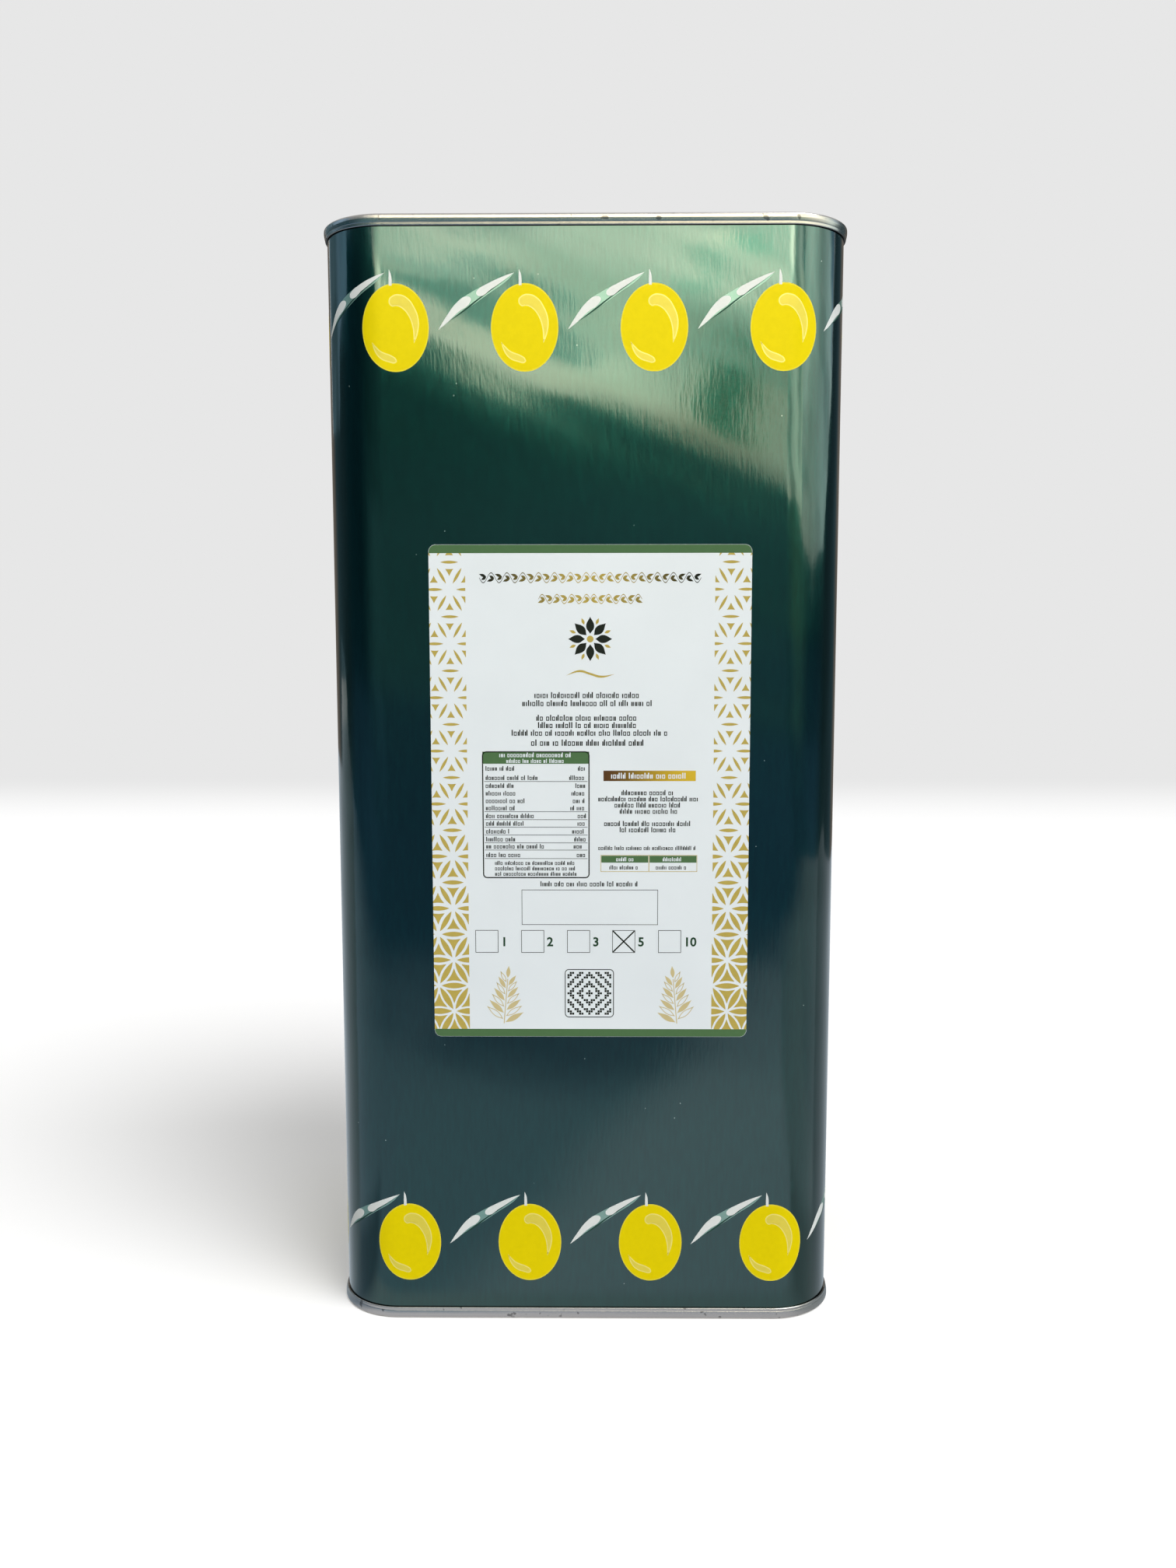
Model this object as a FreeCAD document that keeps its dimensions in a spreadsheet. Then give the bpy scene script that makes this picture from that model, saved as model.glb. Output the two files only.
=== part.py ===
import FreeCAD, Part
import math
import os
from types import SimpleNamespace

import Sketcher
from FreeCAD import Vector

# Oblong five-litre oil tin: a welded tinplate wall closed by two double-seamed ends, a drop handle in
# two strip brackets, and a plastic pull-up pouring spout with a screw cap. Millimetres, +Z up, the front
# faces -Y and the origin is the middle of the surface that the tin stands on.

SIZES = (
    # Wall, measured outside
    ("body_width", 149.0),
    ("body_depth", 119.0),
    ("tin_height", 320.0),
    ("corner_radius", 18.0),
    ("sheet", 0.27),
    ("weld_width", 0.9),
    ("weld_back", 23.7),
    ("weld_rise", 0.1),
    ("weld_seam_gap", 1.0),
    # Double seams: layers of the wall and the end, with a film of sealing compound between them
    ("seam_length", 3.2),
    ("seam_film", 0.04),
    ("seam_land", 0.25),
    ("body_hook", 2.0),
    ("cover_hook", 1.9),
    # Ends: a raised panel inside a stiffening ring and a countersink groove, all with one bend
    ("panel_depth", 4.0),
    ("end_bend", 0.5),
    ("groove_width", 2.0),
    ("ring_width", 3.0),
    # Neck drawn up out of the top panel, with a curled edge
    ("spout_inset", 27.5),
    ("neck_radius", 17.0),
    ("neck_height", 4.0),
    ("neck_bend", 0.8),
    ("neck_curl", 0.9),
    ("gasket_width", 1.6),
    ("gasket_height", 0.7),
    # Collar snapped over the curled neck
    ("snap_gap", 0.15),
    ("collar_wall", 1.3),
    ("collar_flange", 1.4),
    ("collar_round", 0.6),
    ("skirt_lift", 0.4),
    ("snap_bead_depth", 0.8),
    ("snap_bead_height", 1.5),
    ("sleeve_depth", 20.0),
    ("sleeve_lip", 1.0),
    # Pouring spout that slides up through the collar
    ("slide_gap", 0.3),
    ("spout_radius", 13.2),
    ("spout_bore", 11.5),
    ("stop_height", 2.0),
    ("finish_radius", 12.7),
    ("retaining_bead", 0.55),
    ("retaining_height", 1.0),
    ("lip_flare", 0.7),
    ("lip_height", 1.2),
    ("finish_height", 6.6),
    # Tamper band, seal and cap
    ("band_gap", 0.15),
    ("band_height", 1.9),
    ("band_wall", 2.0),
    ("seal_gap", 0.2),
    ("seal_depth", 5.0),
    ("seal_wall", 0.8),
    ("seal_upstand", 2.4),
    ("pull_ring_radius", 7.2),
    ("pull_ring_wire", 0.75),
    ("pull_ring_lift", 1.7),
    ("pull_post_radius", 1.1),
    ("liner_height", 1.0),
    ("liner_gap", 0.2),
    ("cap_thread_gap", 0.25),
    ("cap_wall", 1.6),
    ("cap_top", 1.4),
    ("cap_round", 1.1),
    ("cap_rib_radius", 0.45),
    ("cap_rib_margin", 0.8),
    # Drop handle and its brackets
    ("handle_width", 80.0),
    ("handle_front_gap", 19.5),
    ("handle_arm", 9.0),
    ("handle_bar", 12.0),
    ("handle_thickness", 5.0),
    ("handle_corner", 13.0),
    ("handle_edge", 1.6),
    ("handle_lift", 0.4),
    ("pin_radius", 2.0),
    ("pin_gap", 0.1),
    ("bracket_gap", 0.5),
    ("bracket_spout_gap", 3.02),
    ("bracket_width", 8.0),
    ("bracket_foot", 5.5),
    ("bracket_strip", 0.8),
    ("bracket_bend", 0.6),
    # Printed label on the front
    ("label_width", 91.7),
    ("label_height", 143.0),
    ("label_shift", 1.5),
    ("label_base", 87.0),
    ("label_corner", 2.0),
    ("label_sheet", 0.12),
)
CAP_RIBS = 48
FULL_TURN = 360
LEVEL_FACE = 0.5  # a face whose normal rises more than this is level


class Length:
    """A length and the spreadsheet formula that gives it."""

    def __init__(self, value, formula):
        self.value = value
        self.formula = formula

    def __add__(self, other):
        return Length(self.value + other.value, f"({self.formula} + {other.formula})")

    def __sub__(self, other):
        return Length(self.value - other.value, f"({self.formula} - {other.formula})")

    def __mul__(self, factor):
        return Length(self.value * factor, f"({self.formula} * {factor})")

    def __truediv__(self, divisor):
        return Length(self.value / divisor, f"({self.formula} / {divisor})")

    def __neg__(self):
        return Length(-self.value, f"(0 - {self.formula})")


ZERO = Length(0, "0")

doc = FreeCAD.newDocument("OilTin")
sheet = doc.addObject("Spreadsheet::Sheet", "Sizes")
for row, (alias, value) in enumerate(SIZES, start=1):
    sheet.set(f"A{row}", alias)
    sheet.set(f"B{row}", str(value))
    sheet.setAlias(f"B{row}", alias)
doc.recompute()
size = SimpleNamespace(**{alias: Length(value, f"Sizes.{alias}") for alias, value in SIZES})

subparts = []


# Drawing helpers

def new_body(label, x=ZERO, y=ZERO, z=ZERO):
    """A sub-part with its own frame, placed at x, y, z."""
    body = doc.addObject("PartDesign::Body", label)
    for axis, length in zip("xyz", (x, y, z)):
        body.setExpression(f"Placement.Base.{axis}", length.formula)
    subparts.append(body)
    return body


def origin_feature(body, role):
    return next(feature for feature in body.Origin.OriginFeatures if feature.Role == role)


def new_sketch(body, role, lift=ZERO, shift=(ZERO, ZERO)):
    """A sketch on one of the body's own planes, lifted along the plane's normal and shifted in it."""
    sketch = body.newObject("Sketcher::SketchObject", "Sketch")
    sketch.AttachmentSupport = [(origin_feature(body, role), "")]
    sketch.MapMode = "FlatFace"
    for axis, length in zip("xyz", (*shift, lift)):
        sketch.setExpression(f"AttachmentOffset.Base.{axis}", length.formula)
    return sketch


def arc_between(start, end, radius, turn):
    """The arc of under a half circle from start to end, turning left or right."""
    chord = end - start
    to_centre = math.sqrt(max(radius**2 - chord.Length**2 / 4, 0))
    side = Vector(-chord.y, chord.x, 0).normalize()
    centre = (start + end) / 2 + side * (to_centre if turn == "left" else -to_centre)
    first, last = (start, end) if turn == "left" else (end, start)
    angles = [math.atan2(point.y - centre.y, point.x - centre.x) for point in (first, last)]
    return Part.ArcOfCircle(Part.Circle(centre, Vector(0, 0, 1), radius), *angles)


def place_point(rules, formulas, geometry, end, x, y):
    """Ties one end of a piece of geometry to the coordinates x, y."""
    for kind, axis, length in (("DistanceX", -2, x), ("DistanceY", -1, y)):
        if length is ZERO:
            rules.append(Sketcher.Constraint("PointOnObject", geometry, end, axis))
        else:
            formulas[len(rules)] = length.formula
            rules.append(Sketcher.Constraint(kind, -1, 1, geometry, end, length.value))


def apply_rules(sketch, rules, formulas):
    first = sketch.ConstraintCount
    sketch.addConstraint(rules)
    for index, formula in formulas.items():
        sketch.setExpression(f"Constraints[{first + index}]", formula)


def draw_outline(sketch, path):
    """A closed outline. A point (x, y) is reached by a line, (x, y, radius, turn) by an arc."""
    points = [Vector(step[0].value, step[1].value, 0) for step in path]
    pieces = []
    ends = []
    rules = []
    formulas = {}
    first = sketch.GeometryCount
    for index in range(len(path)):
        target = (index + 1) % len(path)
        if len(path[target]) == 2:
            pieces.append(Part.LineSegment(points[index], points[target]))
            ends.append((1, 2))
            continue
        radius, turn = path[target][2:]
        pieces.append(arc_between(points[index], points[target], radius.value, turn))
        ends.append((1, 2) if turn == "left" else (2, 1))
        formulas[len(rules)] = radius.formula
        rules.append(Sketcher.Constraint("Radius", first + index, radius.value))
    sketch.addGeometry(pieces, False)
    for index, step in enumerate(path):
        before = index - 1 if index else len(path) - 1
        joint = (first + before, ends[before][1], first + index, ends[index][0])
        rules.append(Sketcher.Constraint("Coincident", *joint))
        place_point(rules, formulas, first + index, ends[index][0], step[0], step[1])
    apply_rules(sketch, rules, formulas)


def draw_circle(sketch, radius, x=ZERO, y=ZERO):
    index = sketch.GeometryCount
    centre = Vector(x.value, y.value, 0)
    sketch.addGeometry(Part.Circle(centre, Vector(0, 0, 1), radius.value), False)
    rules = [Sketcher.Constraint("Radius", index, radius.value)]
    formulas = {0: radius.formula}
    place_point(rules, formulas, index, 3, x, y)
    apply_rules(sketch, rules, formulas)


def rounded_rectangle(width, depth, radius):
    """The outline of a rounded rectangle about the origin, from the middle of its far side."""
    x, y = width / 2, depth / 2
    return [
        (ZERO, y),
        (radius - x, y),
        (-x, y - radius, radius, "left"),
        (-x, radius - y),
        (radius - x, -y, radius, "left"),
        (x - radius, -y),
        (x, radius - y, radius, "left"),
        (x, y - radius),
        (x - radius, y, radius, "left"),
    ]


def pad(body, sketch, length, symmetric=False):
    feature = body.newObject("PartDesign::Pad", "Pad")
    feature.Profile = sketch
    feature.setExpression("Length", length.formula)
    feature.Midplane = symmetric
    return feature


def revolve(body, sketch):
    feature = body.newObject("PartDesign::Revolution", "Revolution")
    feature.Profile = sketch
    feature.ReferenceAxis = (sketch, ["V_Axis"])
    feature.Angle = FULL_TURN
    return feature


def sweep_round_tin(body, section):
    """Sweeps a section, drawn on the far side of the tin, once round the wall's outline."""
    path = new_sketch(body, "XY_Plane")
    draw_outline(path, rounded_rectangle(size.body_width, size.body_depth, size.corner_radius))
    profile = new_sketch(body, "YZ_Plane")
    draw_outline(profile, section)
    feature = body.newObject("PartDesign::AdditivePipe", "Pipe")
    feature.Profile = profile
    feature.Spine = path
    return feature


# Levels and radii that several pieces share

wall = size.body_depth / 2
film = size.seam_film
sheet_two = size.sheet * 2
sheet_three = size.sheet * 3
panel_level = size.tin_height - size.panel_depth
# Bends of the double seam, from the inside of the body hook to the outside of the end
hook_inside = (film * 2 + size.sheet - size.seam_land) / 2
hook_outside = hook_inside + size.sheet
end_inside = hook_outside + film
end_outside = end_inside + size.sheet
cover_inside = film + size.sheet / 2
cover_outside = cover_inside + size.sheet
# Height of each step of the ends, and where the raised panel starts inside the wall's outer face
end_step = size.end_bend * 2 + size.sheet
ring_inset = sheet_three + film + size.end_bend * 3 + size.groove_width
panel_inset = ring_inset + size.ring_width + end_step

spout_x = size.body_width / 2 - size.spout_inset
spout_y = size.body_depth / 2 - size.spout_inset
curl_crest = size.neck_radius - size.sheet + size.neck_curl
curl_edge = curl_crest + size.neck_curl
flange_base = size.neck_height + size.gasket_height
collar_level = flange_base + size.collar_flange
sleeve_outside = size.neck_radius - size.sheet - size.snap_gap
sleeve_inside = sleeve_outside - size.collar_wall
stop_radius = sleeve_inside - size.slide_gap
stop_base = size.collar_wall + size.slide_gap - size.sleeve_depth
band_base = collar_level + size.slide_gap
bead_base = band_base + size.band_height + size.slide_gap
bead_radius = size.spout_radius + size.retaining_bead
spout_level = bead_base + size.retaining_height + size.finish_height
cap_inside = bead_radius + size.cap_thread_gap
cap_outside = cap_inside + size.cap_wall
cap_base = bead_base
liner_level = spout_level + size.liner_height
cap_level = liner_level + size.cap_top

skirt_inside = curl_edge + size.snap_gap
skirt_outside = skirt_inside + size.collar_wall

pin_level = size.handle_thickness / 2 + size.handle_lift
bracket_middle = size.handle_width / 2 + size.bracket_gap + size.bracket_width / 2
bracket_inside = size.pin_radius + size.pin_gap
bracket_outside = bracket_inside + size.bracket_strip
bracket_end = bracket_outside + size.bracket_bend + size.bracket_foot
# The brackets stand clear of the collar, and the handle fills the room from there to the front
hinge_y = spout_y - skirt_outside - size.bracket_spout_gap - bracket_end
handle_reach = hinge_y + wall - size.handle_front_gap


# Wall and ends

def hooked_edge(level):
    """The flange of the wall, bent out and back into the seam, as an outline from inside to outside."""
    bend = size.sheet + film + hook_outside
    tip = size.sheet + film + size.body_hook
    crown = size.sheet + film
    inside = crown + size.sheet
    hook = film * 2 + size.sheet
    return [
        (wall - size.sheet, level(bend)),
        (wall - size.sheet + hook_outside, level(crown), hook_outside),
        (wall - size.sheet + hook_outside + size.seam_land, level(crown)),
        (wall + hook + size.sheet, level(bend), hook_outside),
        (wall + hook + size.sheet, level(tip)),
        (wall + hook, level(tip)),
        (wall + hook, level(bend)),
        (wall + hook - hook_inside, level(inside), -hook_inside),
        (wall + hook_inside, level(inside)),
        (wall, level(bend), -hook_inside),
    ]


def from_top(depth):
    return size.tin_height - depth


def from_bottom(depth):
    return depth


def turned(points, clockwise):
    """Gives each arc its turn: a positive radius follows the outline's sense, a negative one is hollow."""
    path = []
    for point in points:
        if len(point) == 2:
            path.append(point)
            continue
        hollow = point[2].value < 0
        radius = -point[2] if hollow else point[2]
        path.append((point[0], point[1], radius, "right" if clockwise != hollow else "left"))
    return path


def backwards(points):
    """The same outline walked the other way, with each arc on the point that it then ends on."""
    path = []
    for index in range(len(points) - 1, -1, -1):
        arc = points[index + 1][2:] if index + 1 < len(points) else ()
        path.append((*points[index][:2], *arc))
    return path


def make_body_shell():
    """The wall: one sheet bent round, welded behind the left side's middle and hooked at both ends."""
    body = new_body("body_shell")
    section = hooked_edge(from_top) + backwards(hooked_edge(from_bottom))
    sweep_round_tin(body, turned(section, clockwise=True))
    strip = new_sketch(body, "YZ_Plane", -size.body_width / 2 - size.weld_rise, (size.weld_back, ZERO))
    lowest = size.seam_length + size.weld_seam_gap
    highest = size.tin_height - lowest
    half = size.weld_width / 2
    draw_outline(strip, [(-half, lowest), (half, lowest), (half, highest), (-half, highest)])
    pad(body, strip, size.weld_rise + size.sheet / 2)


def end_section(level):
    """Half section of a seamed end: panel edge, ring, groove, chuck wall, seam and cover hook."""
    chuck_inside = wall - sheet_two - film
    chuck_outside = wall - size.sheet - film
    seam_outside = wall + film * 3 + sheet_three
    seam_inside = wall + film * 3 + sheet_two
    hook_outer = wall + film + size.sheet
    hook_inner = wall + film
    hook_bend = size.seam_length - cover_outside
    hook_tip = size.seam_length - size.cover_hook
    hook_middle = wall + film * 2 + sheet_three / 2
    bend = size.end_bend
    bend_out = bend + size.sheet
    ring = size.panel_depth + end_step
    ring_bend = ring - bend
    floor = ring + end_step
    floor_bend = floor - bend
    panel_edge = wall - panel_inset
    ring_edge = wall - ring_inset
    ring_start = ring_edge - size.ring_width
    inner_wall = ring_edge + bend_out
    return [
        (panel_edge, level(size.panel_depth)),
        (ring_start - bend, level(ring_bend), bend_out),
        (ring_start, level(ring), -bend),
        (ring_edge, level(ring)),
        (inner_wall, level(floor_bend), bend_out),
        (inner_wall + bend, level(floor), -bend),
        (chuck_inside - bend, level(floor)),
        (chuck_inside, level(floor_bend), -bend),
        (chuck_inside, level(end_outside)),
        (chuck_inside + end_outside, level(ZERO), end_outside),
        (chuck_inside + end_outside + size.seam_land, level(ZERO)),
        (seam_outside, level(end_outside), end_outside),
        (seam_outside, level(hook_bend)),
        (hook_middle, level(size.seam_length), cover_outside),
        (hook_inner, level(hook_bend), cover_outside),
        (hook_inner, level(hook_tip)),
        (hook_outer, level(hook_tip)),
        (hook_outer, level(hook_bend)),
        (hook_middle, level(hook_bend + cover_inside), -cover_inside),
        (seam_inside, level(hook_bend), -cover_inside),
        (seam_inside, level(end_outside)),
        (chuck_inside + end_outside + size.seam_land, level(size.sheet), -end_inside),
        (chuck_inside + end_outside, level(size.sheet)),
        (chuck_outside, level(end_outside), -end_inside),
        (chuck_outside, level(floor_bend)),
        (chuck_outside - bend_out, level(floor + size.sheet), bend_out),
        (inner_wall + bend, level(floor + size.sheet)),
        (inner_wall - size.sheet, level(floor_bend), bend_out),
        (ring_edge, level(ring + size.sheet), -bend),
        (ring_start, level(ring + size.sheet)),
        (panel_edge + bend, level(ring_bend), bend_out),
        (panel_edge, level(size.panel_depth + size.sheet), -bend),
    ]


def make_end(label, level, clockwise):
    """A pressed end: the rim swept round the tin and the flat panel inside it."""
    body = new_body(label)
    sweep_round_tin(body, turned(end_section(level), clockwise))
    lowest = panel_level - size.sheet if clockwise else size.panel_depth
    panel = new_sketch(body, "XY_Plane", lift=lowest)
    inset = panel_inset * 2
    outline = rounded_rectangle(size.body_width - inset, size.body_depth - inset,
                                size.corner_radius - panel_inset)
    draw_outline(panel, outline)
    pad(body, panel, size.sheet)
    return body


def make_top_end():
    """The top end, with the pouring neck drawn up out of its panel."""
    body = make_end("top_end", from_top, clockwise=True)
    hole_radius = size.neck_radius + size.neck_bend
    hole = new_sketch(body, "XY_Plane", lift=panel_level, shift=(spout_x, spout_y))
    draw_circle(hole, hole_radius)
    pocket = body.newObject("PartDesign::Pocket", "NeckHole")
    pocket.Profile = hole
    pocket.setExpression("Length", sheet_two.formula)
    neck = new_sketch(body, "XZ_Plane", lift=-spout_y, shift=(spout_x, panel_level))
    curl_inside = size.neck_curl - size.sheet
    shoulder = size.neck_height - size.neck_curl
    bend_under = size.neck_bend + size.sheet
    draw_outline(neck, [
        (hole_radius, -size.sheet),
        (size.neck_radius - size.sheet, size.neck_bend, bend_under, "right"),
        (size.neck_radius - size.sheet, shoulder),
        (curl_crest, size.neck_height, size.neck_curl, "right"),
        (curl_edge, shoulder, size.neck_curl, "right"),
        (curl_edge - size.sheet, shoulder),
        (curl_crest, size.neck_height - size.sheet, curl_inside, "left"),
        (size.neck_radius, shoulder, curl_inside, "left"),
        (size.neck_radius, size.neck_bend),
        (hole_radius, ZERO, size.neck_bend, "left"),
    ])
    revolve(body, neck)


def make_seam_compound(label, level):
    """The bead of sealing compound that fills the seam between the body hook and the cover hook."""
    body = new_body(label)
    gap = film / 2
    inner = wall + gap
    outer = wall + film * 2 + size.sheet - gap
    near = level(sheet_two + film + gap + hook_inside)
    far = level(size.seam_length - size.cover_hook - gap)
    sweep_round_tin(body, [(inner, near), (outer, near), (outer, far), (inner, far)])


# Spout, collar and cap, each turned about the neck's axis with z measured from the top panel

def neck_body(label):
    return new_body(label, spout_x, spout_y, panel_level)


def make_spout_gasket():
    body = neck_body("spout_gasket")
    section = new_sketch(body, "XZ_Plane")
    inner = curl_crest - size.gasket_width / 2
    outer = curl_crest + size.gasket_width / 2
    draw_outline(section, [(inner, size.neck_height), (outer, size.neck_height),
                           (outer, flange_base), (inner, flange_base)])
    revolve(body, section)


def make_spout_collar():
    """Snap-on collar: a skirt over the curled neck and a sleeve inside it that guides the spout."""
    body = neck_body("spout_collar")
    bead_top = size.neck_height - size.neck_curl - size.snap_gap
    bead_low = bead_top - size.snap_bead_height
    guide = size.spout_radius + size.slide_gap
    lip = stop_radius - size.sleeve_lip
    edge = size.collar_round
    section = new_sketch(body, "XZ_Plane")
    draw_outline(section, [
        (guide, flange_base),
        (sleeve_inside, flange_base),
        (sleeve_inside, size.collar_wall - size.sleeve_depth),
        (lip, size.collar_wall - size.sleeve_depth),
        (lip, -size.sleeve_depth),
        (sleeve_outside, -size.sleeve_depth),
        (sleeve_outside, flange_base),
        (skirt_inside, flange_base),
        (skirt_inside, bead_top),
        (skirt_inside - size.snap_bead_depth, (bead_top + bead_low) / 2),
        (skirt_inside, bead_low),
        (skirt_inside, size.skirt_lift),
        (skirt_outside, size.skirt_lift),
        (skirt_outside, collar_level - edge),
        (skirt_outside - edge, collar_level, edge, "left"),
        (guide, collar_level),
    ])
    revolve(body, section)


def make_pour_spout():
    """Pull-up spout: a stop flange in the sleeve, a tube, a retaining bead, a neck and a pouring lip."""
    body = neck_body("pour_spout")
    bead_top = bead_base + size.retaining_height
    lip_radius = size.finish_radius + size.lip_flare
    lip_base = spout_level - size.lip_height
    edge = size.lip_height / 2
    section = new_sketch(body, "XZ_Plane")
    draw_outline(section, [
        (size.spout_bore, stop_base),
        (stop_radius, stop_base),
        (stop_radius, stop_base + size.stop_height),
        (size.spout_radius, stop_base + size.stop_height),
        (size.spout_radius, bead_base),
        (bead_radius, bead_base),
        (size.finish_radius, bead_top),
        (size.finish_radius, lip_base),
        (lip_radius, lip_base + edge),
        (lip_radius - edge, spout_level, edge, "left"),
        (size.spout_bore, spout_level),
    ])
    revolve(body, section)


def make_tamper_band():
    """The ring that breaks off the cap at the first turn and stays under the retaining bead."""
    body = neck_body("tamper_band")
    inner = size.spout_radius + size.band_gap
    outer = inner + size.band_wall
    top = band_base + size.band_height
    section = new_sketch(body, "XZ_Plane")
    draw_outline(section, [(inner, band_base), (outer, band_base), (outer, top), (inner, top)])
    revolve(body, section)


def make_spout_seal():
    """Tear-out seal: a shallow cup across the bore with a pull ring standing on a post."""
    body = neck_body("spout_seal")
    outer = size.spout_bore - size.seal_gap
    inner = outer - size.seal_wall
    floor = spout_level - size.seal_depth
    rim = floor + size.seal_upstand
    cup = new_sketch(body, "XZ_Plane")
    draw_outline(cup, [(ZERO, floor - size.seal_wall), (outer, floor - size.seal_wall), (outer, rim),
                       (inner, rim), (inner, floor), (ZERO, floor)])
    revolve(body, cup)
    post = new_sketch(body, "XY_Plane", lift=floor, shift=(size.pull_ring_radius, ZERO))
    draw_circle(post, size.pull_post_radius)
    pad(body, post, size.pull_ring_lift)
    ring = new_sketch(body, "XZ_Plane")
    draw_circle(ring, size.pull_ring_wire, size.pull_ring_radius, floor + size.pull_ring_lift)
    revolve(body, ring)


def make_cap_liner():
    body = neck_body("cap_liner")
    disc = new_sketch(body, "XY_Plane", lift=spout_level)
    draw_circle(disc, cap_inside - size.liner_gap)
    pad(body, disc, size.liner_height)


def make_cap_shell():
    """Screw cap: a skirt with a rounded crown and moulded grip ribs all round."""
    body = neck_body("cap_shell")
    edge = size.cap_round
    section = new_sketch(body, "XZ_Plane")
    draw_outline(section, [
        (cap_inside, cap_base),
        (cap_outside, cap_base),
        (cap_outside, cap_level - edge),
        (cap_outside - edge, cap_level, edge, "left"),
        (ZERO, cap_level),
        (ZERO, liner_level),
        (cap_inside, liner_level),
    ])
    revolve(body, section)
    rib = new_sketch(body, "XY_Plane", lift=cap_base + size.cap_rib_margin)
    draw_circle(rib, size.cap_rib_radius, cap_outside, ZERO)
    rib_pad = pad(body, rib, cap_level - edge - cap_base - size.cap_rib_margin * 2)
    ribs = body.newObject("PartDesign::PolarPattern", "Ribs")
    ribs.Originals = [rib_pad]
    ribs.Axis = (rib, ["N_Axis"])
    ribs.Angle = FULL_TURN
    ribs.Occurrences = CAP_RIBS
    body.Tip = ribs


# Handle

def make_carry_handle():
    """Moulded drop handle lying flat towards the front, with a trunnion on each arm."""
    body = new_body("carry_handle", y=hinge_y, z=panel_level + pin_level)
    half = size.handle_width / 2
    inner = half - size.handle_arm
    inner_edge = size.handle_bar - handle_reach
    corner = size.handle_corner
    inner_corner = corner - size.handle_arm
    loop = new_sketch(body, "XY_Plane")
    draw_outline(loop, [
        (half, ZERO),
        (inner, ZERO),
        (inner, inner_edge + inner_corner),
        (inner - inner_corner, inner_edge, inner_corner, "right"),
        (inner_corner - inner, inner_edge),
        (-inner, inner_edge + inner_corner, inner_corner, "right"),
        (-inner, ZERO),
        (-half, ZERO),
        (-half, corner - handle_reach),
        (corner - half, -handle_reach, corner, "left"),
        (half - corner, -handle_reach),
        (half, corner - handle_reach, corner, "left"),
    ])
    strap = pad(body, loop, size.handle_thickness, symmetric=True)
    doc.recompute()
    flat_faces = [f"Face{index}" for index, face in enumerate(strap.Shape.Faces, start=1)
                  if abs(face.normalAt(0, 0).z) > LEVEL_FACE]
    edges = body.newObject("PartDesign::Fillet", "Edges")
    edges.Base = (strap, flat_faces)
    edges.setExpression("Radius", size.handle_edge.formula)
    knuckle = new_sketch(body, "YZ_Plane", lift=inner)
    draw_circle(knuckle, size.handle_thickness / 2)
    knuckle_pad = pad(body, knuckle, size.handle_arm)
    pin = new_sketch(body, "YZ_Plane", lift=half)
    draw_circle(pin, size.pin_radius)
    pin_pad = pad(body, pin, size.bracket_gap + size.bracket_width)
    pair = body.newObject("PartDesign::Mirrored", "OtherSide")
    pair.Originals = [knuckle_pad, pin_pad]
    pair.MirrorPlane = (origin_feature(body, "YZ_Plane"), [""])
    body.Tip = pair


def make_handle_bracket(label, x):
    """A strip bent over the handle's trunnion, with two flat feet on the top panel."""
    body = new_body(label, x, hinge_y, panel_level)
    inside = bracket_inside
    outside = bracket_outside
    bend = size.bracket_bend
    foot = bracket_end
    crown = pin_level + outside
    section = new_sketch(body, "YZ_Plane")
    draw_outline(section, [
        (foot, ZERO),
        (foot, size.bracket_strip),
        (outside + bend, size.bracket_strip),
        (outside, size.bracket_strip + bend, bend, "right"),
        (outside, pin_level),
        (ZERO, crown, outside, "left"),
        (-outside, pin_level, outside, "left"),
        (-outside, size.bracket_strip + bend),
        (-outside - bend, size.bracket_strip, bend, "right"),
        (-foot, size.bracket_strip),
        (-foot, ZERO),
        (-inside, ZERO),
        (-inside, pin_level),
        (ZERO, pin_level + inside, inside, "right"),
        (inside, pin_level, inside, "right"),
        (inside, ZERO),
    ])
    pad(body, section, size.bracket_width, symmetric=True)


# Label

def make_front_label():
    """The printed label, a thin sheet with rounded corners on the front wall."""
    body = new_body("front_label", x=size.label_shift, y=-size.body_depth / 2,
                    z=size.label_base + size.label_height / 2)
    outline = new_sketch(body, "XZ_Plane")
    draw_outline(outline, rounded_rectangle(size.label_width, size.label_height, size.label_corner))
    pad(body, outline, size.label_sheet)


make_body_shell()
make_top_end()
make_end("bottom_end", from_bottom, clockwise=False)
make_seam_compound("top_seam_compound", from_top)
make_seam_compound("bottom_seam_compound", from_bottom)
make_spout_gasket()
make_spout_collar()
make_pour_spout()
make_tamper_band()
make_spout_seal()
make_cap_liner()
make_cap_shell()
make_carry_handle()
make_handle_bracket("handle_bracket_left", -bracket_middle)
make_handle_bracket("handle_bracket_right", bracket_middle)
make_front_label()
doc.recompute()

for item in doc.Objects:
    if "Invalid" in item.State or "Error" in item.State:
        raise RuntimeError(f"{item.Label} failed to build: {item.State}")
for subpart in subparts:
    if subpart.Shape.isNull() or not subpart.Shape.isValid():
        raise RuntimeError(f"{subpart.Label} has no valid shape")

os.makedirs("parts", exist_ok=True)
for subpart in subparts:
    subpart.Shape.exportStep(f"parts/{subpart.Label}.step")
    box = subpart.Shape.BoundBox
    spans = (f"{low:.2f}..{high:.2f}" for low, high in
             ((box.XMin, box.XMax), (box.YMin, box.YMax), (box.ZMin, box.ZMax)))
    print(f"{subpart.Label}: {len(subpart.Shape.Solids)} solid, {subpart.Shape.Volume:.1f} mm3, "
          f"spans {' '.join(spans)}")
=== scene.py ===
"""Looks of an oblong five-litre oil tin with a pull-up spout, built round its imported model."""

import math
import random

import bmesh
import bpy
from mathutils import Matrix, Vector


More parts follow.
